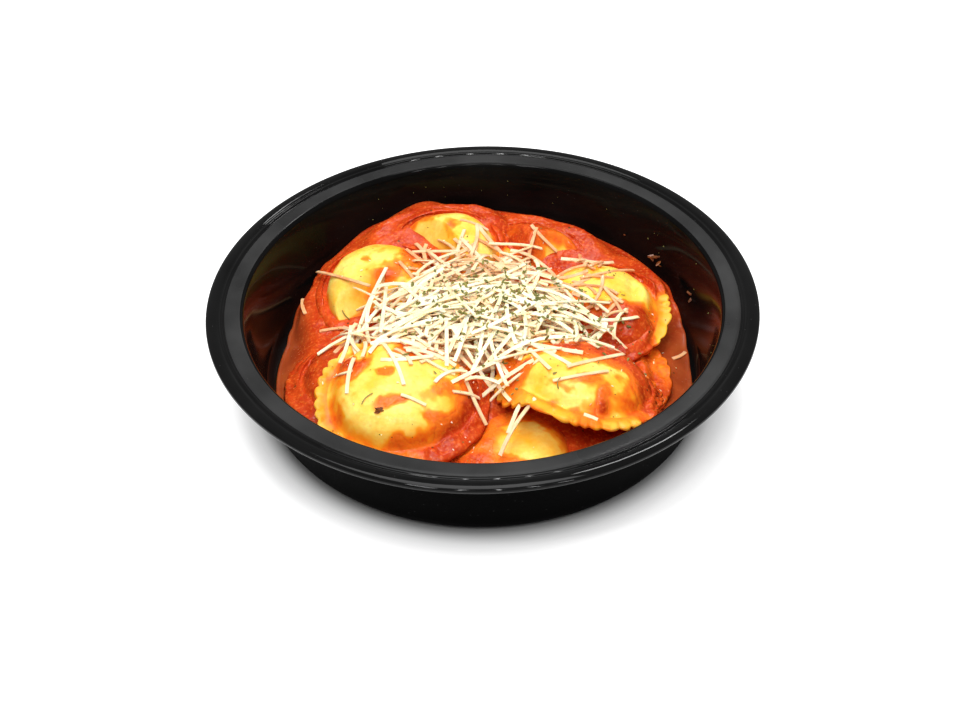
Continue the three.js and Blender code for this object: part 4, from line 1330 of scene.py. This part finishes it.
# %% Drop a shred
def drop_shred(x, y, turn, length, bow, width, anywhere=False):
    """A shred where it comes to rest, or None where the heap is already full."""
    run = FINE * length
    side = bow * (1 - 4 * FINE**2)
    c, s = math.cos(turn), math.sin(turn)
    px, py = x + run * c - side * s, y + run * s + side * c
    if not anywhere and np.hypot(px, py).max() > REACH_OF_FOOD:
        return None
    heights = read_ground(ground, px, py)
    middle, slope = resting_line(run, heights)
    pz = middle + slope * run
    ends = np.minimum(pz - heights, MOST_SAG)[[2, -3]]
    pz = pz - 0.5 * np.where(FINE < 0, ends[0], ends[1]) * (2 * FINE) ** 2 - SETTLE
    top = pz + SHRED_THICKNESS
    if not anywhere and (top > heap_limit(px, py)).any():
        return None
    for shift in (-0.45, 0.0, 0.45):
        offset = shift * width * SHRED_WIDTH
        np.maximum.at(ground, (to_cell(px - offset * s), to_cell(py + offset * c)), top)
    rise = float(np.mean(pz - read_ground(bare_ground, px, py)))
    pick = np.linspace(0, len(FINE) - 1, STATIONS).astype(int)
    line = np.stack([px, py, pz + SHRED_THICKNESS / 2], -1)[pick]
    return {"line": line, "rise": rise, "width": width}


print("a shred feels the ground at", len(FINE), "points and keeps", STATIONS)

# %% [markdown]
# The heap is thrown in four handfuls: a thin one over everything, one on the far side, the
# main heap, and longer shreds on top. Each handful is an oval, crowded in its middle.

# %% Throw the shreds
BARE_PATCH, PATCH_SIZE = (29.0, 45.0), 9.0
HANDFULS = [  # number, half sizes of the oval, its middle, longest and shortest shred
    (130, (48, 44), (0, 8), 20, 9),
    (70, (32, 14), (10, 42), 21, 10),
    (300, (33, 22), (-2, 1), 22, 8),
    (230, (42, 31), (-4, 1), 34, 17),
]
draw = np.random.default_rng(20)
shreds = []


def in_oval(chance, centre, half, crowd):
    """A random place in an oval. A crowd below 1 spreads the places out towards its edge."""
    reach, where = chance.random() ** crowd, chance.random() * TAU
    x = centre[0] + half[0] * reach * math.cos(where)
    return x, centre[1] + half[1] * reach * math.sin(where)


def throw_shreds(count, half, centre, long, short):
    """Drops shreds over an oval, but leaves one yellow dome clear."""
    for _ in range(count):
        x, y = in_oval(draw, centre, half, 0.6)
        if math.hypot(x - BARE_PATCH[0], y - BARE_PATCH[1]) < PATCH_SIZE:
            continue
        length = short + (long - short) * draw.random() ** 1.3
        bow = draw.normal(0, 0.07) * length
        turn = draw.normal(0.05, 0.7) if draw.random() < 0.3 else draw.random() * TAU
        shred = drop_shred(x, y, turn, length, bow, draw.uniform(0.65, 1.15))
        if shred:
            shreds.append({**shred, "tilt": draw.normal(0, 0.3)})


for handful in HANDFULS:
    throw_shreds(*handful)
highest = max(shred["line"][:, 2].max() for shred in shreds)
print(len(shreds), "shreds, highest", round(highest, 1), "mm")

# %% [markdown]
# A few shreds lie alone on the pasta, the sauce and the wall. They are named one by one,
# because a rule would not put them where the eye expects them.

# %% Shreds that lie alone
LONE_SHREDS = np.array(
    [  # x, y of one end and x, y of the other, millimetres
        *[(-59.5, 42.9, -39.1, 22.7), (-64.5, 34.0, -63.0, 25.0), (-57.3, 15.1, -48.3, 14.8)],
        *[(66.0, 4.6, 71.0, 9.0), (40.1, 2.0, 53.6, 8.1), (22.0, -39.1, 39.9, -33.9)],
        *[(26.7, -34.3, 46.0, -20.0), (-48.8, -25.7, -42.4, -29.9), (-43.9, -37.7, -41.9, -25.0)],
        *[(-32.4, -19.5, -25.5, -38.0), (-26.4, -41.0, -18.5, -43.7), (-47.5, -17.7, -44.8, 2.0)],
        *[(4.7, -55.6, 16.2, -43.9), (7.3, -51.3, 11.4, -43.1), (-6.1, -31.6, 5.2, -31.3)],
        *[(34.6, 26.7, 54.5, 36.5), (-52.0, 6.0, -40.0, -8.0), (31.3, -49.0, 35.6, -50.4)],
        *[(-10.0, 24.6, 6.5, 29.4), (-5.0, 31.0, 3.6, 22.8), (-3.4, 23.0, 1.6, 32.6)],
        (-7.4, 29.6, 4.4, 25.4),
    ]
)
for ends in LONE_SHREDS:
    start, end = ends[:2], ends[2:]
    middle, run = (start + end) / 2, end - start
    length = float(np.hypot(*run))
    bow = draw.normal(0, 0.04) * length
    width = draw.uniform(0.85, 1.1)
    turn = math.atan2(run[1], run[0])
    shred = drop_shred(middle[0], middle[1], turn, length, bow, width, anywhere=True)
    shreds.append({**shred, "tilt": draw.normal(0, 0.15)})
print(len(LONE_SHREDS), "lone shreds")

# %% [markdown]
# ## The cheese: from lines to strips
# The real shreds come off a grater as flat strips. Here every shred is a line of points, and
# Geometry Nodes sweep a flat rectangle along all of them at once: the tree turns the lines
# into curves, gives each its twist and width, and builds the strips. Sweeping suits what
# follows a path, and the tree keeps the strip's width and thickness as named inputs.


# %% Geometry Nodes helpers
def new_tree(name, sockets):
    tree = bpy.data.node_groups.new(name, "GeometryNodeTree")
    tree.interface.new_socket("Geometry", in_out="INPUT", socket_type="NodeSocketGeometry")
    for label, kind, default in sockets:
        socket = tree.interface.new_socket(label, in_out="INPUT", socket_type=kind)
        if default is not None:
            socket.default_value = default
    tree.interface.new_socket("Geometry", in_out="OUTPUT", socket_type="NodeSocketGeometry")
    return tree, tree.nodes.new("NodeGroupInput"), tree.nodes.new("NodeGroupOutput")


def read_attribute(tree, name, kind="FLOAT"):
    kind = {"data_type": kind}
    node = add_node(tree, "GeometryNodeInputNamedAttribute", kind, {"Name": name})
    return node.outputs["Attribute"]


def end_tree(tree, geometry, entry, leave):
    """Makes what was built real, gives it the finish and leads it out of the tree."""
    real = add_node(tree, "GeometryNodeRealizeInstances", inputs={"Geometry": geometry})
    inputs = {"Geometry": real.outputs["Geometry"], "Material": entry.outputs["Finish"]}
    dressed = add_node(tree, "GeometryNodeSetMaterial", inputs=inputs)
    tree.links.new(dressed.outputs["Geometry"], leave.inputs["Geometry"])


def grow(name, source, tree, values):
    """Runs a tree on an object and returns its result as a plain mesh object."""
    modifier = source.modifiers.new("grow", "NODES")
    modifier.node_group = tree
    for item in tree.interface.items_tree:
        if item.in_out == "INPUT" and item.name in values:
            modifier[item.identifier] = values[item.name]
    bpy.context.view_layer.update()
    depsgraph = bpy.context.evaluated_depsgraph_get()
    mesh = bpy.data.meshes.new_from_object(source.evaluated_get(depsgraph), depsgraph=depsgraph)
    mesh.name = name
    source.modifiers.remove(modifier)
    bpy.data.objects.remove(source)
    return add_to_scene(name, mesh)


print("Geometry Nodes helpers ready")

# %% [markdown]
# The tree itself: the lines become curves whose flat side looks up, each curve takes its own
# tilt and width from the numbers kept at its points, and a flat rectangle is swept along it.

# %% Tree that sweeps strips
strip_tree, entry, leave = new_tree(
    "strips_along_lines",
    [
        ("Strip Width", "NodeSocketFloat", 0.00135),
        ("Strip Thickness", "NodeSocketFloat", 0.00075),
        ("Finish", "NodeSocketMaterial", None),
    ],
)
curves = add_node(strip_tree, "GeometryNodeMeshToCurve", inputs={"Mesh": entry.outputs["Geometry"]})
upright = add_node(
    strip_tree,
    "GeometryNodeSetCurveNormal",
    {"mode": "Z_UP"},
    {"Curve": curves.outputs["Curve"]},
)
twisted = add_node(
    strip_tree,
    "GeometryNodeSetCurveTilt",
    inputs={"Curve": upright.outputs["Curve"], "Tilt": read_attribute(strip_tree, "tilt")},
)
sized = add_node(
    strip_tree,
    "GeometryNodeSetCurveRadius",
    inputs={"Curve": twisted.outputs["Curve"], "Radius": read_attribute(strip_tree, "width")},
)
section = add_node(
    strip_tree,
    "GeometryNodeCurvePrimitiveQuadrilateral",
    inputs={"Width": entry.outputs["Strip Width"], "Height": entry.outputs["Strip Thickness"]},
)
strips = add_node(
    strip_tree,
    "GeometryNodeCurveToMesh",
    inputs={
        "Curve": sized.outputs["Curve"],
        "Profile Curve": section.outputs["Curve"],
        "Fill Caps": True,
    },
)
end_tree(strip_tree, strips.outputs["Mesh"], entry, leave)
print("nodes of the strip tree:", len(strip_tree.nodes))

# %% [markdown]
# Every strand hands over its line, its tilt and its width, and how wet it is. Shreds low on
# the sauce are wet, and so are many at the far side. Those that others bury get the same
# peach as painted shade under the shreds above.


# %% Strips of cheese
def sweep_strips(name, strands, width, thickness, finish, wet):
    """Every strand's line swept into a flat strip, all of them as one mesh."""
    lines = bpy.data.meshes.new(name + "_lines")
    stack = np.concatenate([strand["line"] for strand in strands])
    edges = [(k, k + 1) for k in range(len(stack)) if (k + 1) % STATIONS]
    lines.from_pydata((stack * MM).tolist(), edges, [])
    for key in ("tilt", "width"):
        keep_numbers(lines, key, np.repeat([strand[key] for strand in strands], STATIONS))
    keep_numbers(lines, "wet", np.repeat(wet, STATIONS))
    source = add_to_scene(name + "_lines", lines)
    sizes = {"Strip Width": width * MM, "Strip Thickness": thickness * MM, "Finish": finish}
    piece = grow(name, source, strip_tree, sizes)
    piece.data.polygons.foreach_set("use_smooth", [False] * len(piece.data.polygons))
    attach(piece, "root")
    return piece


x, y, height = np.array([shred["line"][STATIONS // 2] for shred in shreds]).T
touching = ease(np.array([shred["rise"] for shred in shreds]), 3.4, 0.8)
touching = touching * (1 - 0.75 * ease(height, 20, 26))
behind = 0.55 * ease(y, 10, 32)
# Painted shade: shreds with others over them are tinted peach as if wet.
painted_shade_under_shreds = 0.45 * ease(read_ground(ground, x, y) - height, 0.5, 1.6)
lone = np.where(np.arange(len(shreds)) < len(shreds) - len(LONE_SHREDS), 0.0, 0.25)
soaked_and_shaded = np.clip(0.85 * touching + behind + painted_shade_under_shreds + lone + draw.normal(0, 0.13, len(shreds)), 0, 1)
cheese = sweep_strips("cheese_shreds", shreds, SHRED_WIDTH, SHRED_THICKNESS, cheese_finish, soaked_and_shaded)
print("cheese:", count_triangles(cheese), "triangles, has wet:", "wet" in cheese.data.attributes)

# %% [markdown]
# A few stalks of herb lie among the shreds. The same tree sweeps them, with a thinner strip.

# %% Strands of herb
HERB_STRANDS = [  # x and y of the middle, direction in degrees, length, bow
    (-37.2, -41.6, 40, 4.6, 0.6),
    (52.0, -14.0, 80, 3.5, 0.5),
    (24.0, -40.0, 75, 3.0, 0.6),
    (-48.0, 20.0, 140, 3.5, 0.4),
]
strands = []
for x, y, turn, length, bow in HERB_STRANDS:
    strand = drop_shred(x, y, math.radians(turn), length, bow, 0.3, anywhere=True)
    strands.append({**strand, "tilt": 0.3, "width": 1.0})
all_dry = [0.0] * len(strands)
herb_strands = sweep_strips("herb_strands", strands, 0.32, 0.25, parsley_finish, all_dry)
print("herb strands:", count_triangles(herb_strands), "triangles")

# %% [markdown]
# ## Parsley, herbs and crumbs
# Dried parsley falls as bent flakes a few millimetres long. Crumbs of cheese and specks of
# herb lie about. All of them are the same few small shapes set down many times with other
# sizes and turns, which is what instances are for. Each shape is a bent, ragged plate with
# seven corners, in units of its own length, so that the tree can give it any size.

# %% Small shapes
FLAKE_KINDS = 5
CORNERS = 7
flake_shapes = bpy.data.collections.new("flake_shapes")
bpy.context.scene.collection.children.link(flake_shapes)
for kind in range(FLAKE_KINDS):
    shape = np.random.default_rng(40 + kind)
    turn = (np.arange(CORNERS) + shape.uniform(-0.3, 0.3, CORNERS)) / CORNERS * TAU
    reach = shape.uniform(0.55, 1.0, CORNERS)
    x, y = 0.5 * reach * np.cos(turn), 0.22 * reach * np.sin(turn)
    bend = 0.5 * np.abs(y) + 0.3 * x * x + shape.uniform(-0.04, 0.04, CORNERS)
    upper = np.stack([x, y, bend + 0.06], -1)
    lower = np.stack([x, y, bend - 0.06], -1)
    points = np.concatenate([[[0, 0, 0.05]], upper, lower, [[0, 0, -0.07]]]) / MM
    faces = ring_faces(2, CORNERS)
    flake = make_piece(f"flake_{kind}", points, faces, parsley_finish, smooth=False)
    bpy.context.scene.collection.objects.unlink(flake)
    flake_shapes.objects.link(flake)
print(FLAKE_KINDS, "small shapes of", count_triangles(flake), "triangles each")

# %% [markdown]
# The tree reads three numbers at each point: which shape, how it is turned and how large it
# is. It sets the shapes down and ends by making them real, because instances are not kept.

# %% Tree that sets shapes down
crumb_tree, entry, leave = new_tree(
    "set_down_flakes",
    [
        ("Shapes", "NodeSocketCollection", None),
        ("Size", "NodeSocketFloat", 0.002),
        ("Finish", "NodeSocketMaterial", None),
    ],
)
points_in = add_node(
    crumb_tree,
    "GeometryNodeMeshToPoints",
    inputs={"Mesh": entry.outputs["Geometry"]},
)
shapes_in = add_node(
    crumb_tree,
    "GeometryNodeCollectionInfo",
    inputs={"Collection": entry.outputs["Shapes"], "Separate Children": True},
)
own_size = read_attribute(crumb_tree, "size")
scale = math_node(crumb_tree, "MULTIPLY", own_size, entry.outputs["Size"])
set_down = add_node(
    crumb_tree,
    "GeometryNodeInstanceOnPoints",
    inputs={
        "Points": points_in.outputs["Points"],
        "Instance": shapes_in.outputs["Instances"],
        "Pick Instance": True,
        "Instance Index": read_attribute(crumb_tree, "kind", "INT"),
        "Rotation": read_attribute(crumb_tree, "turn", "FLOAT_VECTOR"),
        "Scale": scale,
    },
)
end_tree(crumb_tree, set_down.outputs["Instances"], entry, leave)
print("nodes of the tree for small shapes:", len(crumb_tree.nodes))

# %% [markdown]
# Every place becomes a point that keeps the three numbers for the tree. A flake falls nearly
# flat and in any direction, and the seed makes it fall alike in each run.

# %% Set small shapes down
FLAKE_TILT = 0.45  # radians


def set_down_flakes(name, places, sizes, size, finish, seed):
    """Sets small shapes down at places. Sizes are shares of size, in millimetres."""
    chance = np.random.default_rng(seed)
    cloud = bpy.data.meshes.new(name + "_places")
    cloud.from_pydata((np.array(places) * MM).tolist(), [], [])
    count = len(places)
    turns = [chance.normal(0, FLAKE_TILT, count) for _ in range(2)]
    turns.append(chance.uniform(0, TAU, count))
    keep_numbers(cloud, "turn", np.stack(turns, -1), "FLOAT_VECTOR")
    keep_numbers(cloud, "size", sizes)
    keep_numbers(cloud, "kind", chance.integers(0, FLAKE_KINDS, count), "INT")
    source = add_to_scene(name + "_places", cloud)
    inputs = {"Shapes": flake_shapes, "Size": size * MM, "Finish": finish}
    piece = grow(name, source, crumb_tree, inputs)
    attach(piece, "root")
    print(name, count, "pieces,", count_triangles(piece), "triangles")
    return piece


print("a flake tilts by about", round(math.degrees(FLAKE_TILT)), "degrees")

# %% [markdown]
# Parsley, specks of herb and crumbs are sprinkled from above. They are crowded on the heap,
# where the hand held them, and a few reach the sauce by the wall.

# %% Sprinkle parsley, herbs and crumbs
HIGHEST_FLAKE = LEDGE_HEIGHT - 0.9
chance = np.random.default_rng(50)


def fall(*handfuls):
    """Places on the food. A handful is a number, a middle, half sizes, crowd and lift."""
    places = []
    for count, centre, half, crowd, lift in handfuls:
        for _ in range(count):
            x, y = in_oval(chance, centre, half, crowd)
            places.append((x, y, min(read_ground(ground, x, y) + lift, HIGHEST_FLAKE)))
    return places


places = fall(
    (400, (10, 4), (33, 27), 0.62, 0.15),
    (80, (8, 6), (52, 44), 0.5, 0.12),
    (34, (42, 0), (15, 14), 0.5, 0.15),
)
sizes = chance.uniform(0.45, 1.3, len(places))
parsley = set_down_flakes("parsley", places, sizes, 2.35, parsley_finish, 51)

places = fall((160, (0, 0), (66, 60), 0.5, 0.1))
sizes = chance.uniform(0.5, 1.2, len(places))
herbs = set_down_flakes("herb_specks", places, sizes, 0.8, parsley_finish, 52)

places = fall((220, (5, 10), (44, 40), 0.6, 0.2), (90, (0, -4), (67, 60), 0.42, 0.15))
sizes = chance.uniform(0.4, 1.3, len(places))
crumbs = set_down_flakes("cheese_crumbs", places, sizes, 1.1, cheese_finish, 53)

# %% [markdown]
# Where the ladle touched the wall, bits of sauce have dried on it, and one burnt crumb lies
# on a raviolo. A fine spray of herb sits above the sauce. When the last of them is set down,
# the small shapes themselves have done their work and are taken away.

# %% Dried bits and specks on the wall
SPRAY_COUNT = 24
WALL_BITS = [  # direction in degrees, height, share of the size
    *[(34.0, 18.6, 1.2), (35.2, 17.6, 1.4), (36.0, 16.6, 1.2), (33.0, 17.0, 0.8)],
    *[(32.3, 16.2, 0.6), (17.0, 17.5, 1.0), (16.0, 15.8, 0.8), (46.5, 19.5, 0.6)],
]
BURNT_CRUMB = [  # x, y and share of the size of each bit of it
    *[(-33.6, -45.6, 0.8), (-32.9, -46.1, 0.7), (-33.9, -46.2, 0.75)],
    *[(-33.1, -45.0, 0.6), (-33.3, -45.7, 0.9)],
]


def on_wall(directions, heights):
    """Points just off the wall, from directions in degrees and heights."""
    reach = inside_radius(np.array(heights)) - 0.35
    return round_axis(reach, np.radians(directions), heights).tolist()


directions, heights, sizes = map(list, zip(*WALL_BITS))
places = on_wall(directions, heights)
for x, y, size in BURNT_CRUMB:
    places.append((x, y, read_ground(ground, x, y) + 0.25))
    sizes.append(size)
bits = set_down_flakes("dried_bits", places, sizes, 3.9, crust_finish, 54)

spray = [(chance.uniform(-30, 130), chance.uniform(20, 30)) for _ in range(SPRAY_COUNT)]
sizes = chance.uniform(0.4, 1.0, SPRAY_COUNT)
wall_herbs = set_down_flakes("wall_specks", on_wall(*zip(*spray)), sizes, 0.7, parsley_finish, 55)
for flake in list(flake_shapes.objects):
    bpy.data.objects.remove(flake)
bpy.data.collections.remove(flake_shapes)

# %% [markdown]
# ## Table and light
# A pale plain floor and soft light from above, as on a white table near large windows. The
# floor's colour is a painted contact shadow, dark under the bowl. Away from the bowl the floor
# glows with painted light, so the shadow stays close to the foot.

# %% Floor
FLOOR_HALF = 3000  # millimetres
floor_finish, tree, shader = new_material("floor_painted_shadow_and_glow")
away = add_node(tree, "ShaderNodeVectorMath", {"operation": "LENGTH"}, {0: own_place(tree)})
# Painted light: the floor glows more the further it is from the bowl.
painted_floor_glow = ramp(
    tree,
    spread(tree, away.outputs["Value"], 0.074, 0.095),
    [(0.0, (0.0,) * 3), (0.27, (0.27,) * 3), (1.0, (0.5,) * 3)],
)
tree.links.new(painted_floor_glow, shader.inputs["Emission Color"])
# Painted contact shadow: the floor's colour is dark near the foot of the bowl.
shade = ramp(
    tree,
    spread(tree, away.outputs["Value"], 0.071, 0.085),
    [(0.0, (0.18,) * 3), (1.0, (0.88,) * 3)],
)
tree.links.new(shade, shader.inputs["Base Color"])
set_sockets(shader, {"Emission Strength": 1.0, "Roughness": 0.9, "Specular IOR Level": 0.1})
corners = [(x * FLOOR_HALF, y * FLOOR_HALF, 0) for x, y in ((-1, -1), (1, -1), (1, 1), (-1, 1))]
floor = make_piece("floor", corners, [(0, 1, 2, 3)], floor_finish)
print("floor:", 2 * FLOOR_HALF * MM, "m wide")

# %% [markdown]
# A wide lamp overhead makes the soft shadow round the foot. A row of tall narrow lamps in
# front stands for the windows, and with two small lamps it gives rim and sauce their short
# glints. All of them point at the dish.

# %% Lamps and surroundings
WINDOWS_ACROSS = (-0.4, -0.17, 0.08, 0.34, 0.6)
LAMPS = [  # name, place and size in metres, power in watts
    ("overhead", (-0.1, 0.2, 1.5), (0.9, 0.9), 18.5),
    *[(f"window_{k}", (x, -0.85, 1.25), (0.025, 0.45), 2.4) for k, x in enumerate(WINDOWS_ACROSS)],
    ("glint_left", (-0.35, -0.5, 1.1), (0.12, 0.12), 2.2),
    ("glint_back", (0.25, 0.7, 1.0), (0.25, 0.08), 2.2),
]
for name, place, (width, depth), power in LAMPS:
    data = bpy.data.lights.new(name, "AREA")
    data.shape = "RECTANGLE"
    data.size, data.size_y = width, depth
    data.energy = power
    lamp = add_to_scene(name, data)
    lamp.location = place
    lamp.rotation_euler = (-Vector(place)).to_track_quat("-Z", "Y").to_euler()
world = bpy.data.worlds.new("room")
world.use_nodes = True
set_sockets(world.node_tree.nodes["Background"], {"Color": (1, 1, 1, 1), "Strength": 0.42})
bpy.context.scene.world = world
bpy.context.scene.view_settings.view_transform = "Standard"
print("lamps:", [light.name for light in bpy.data.lights])
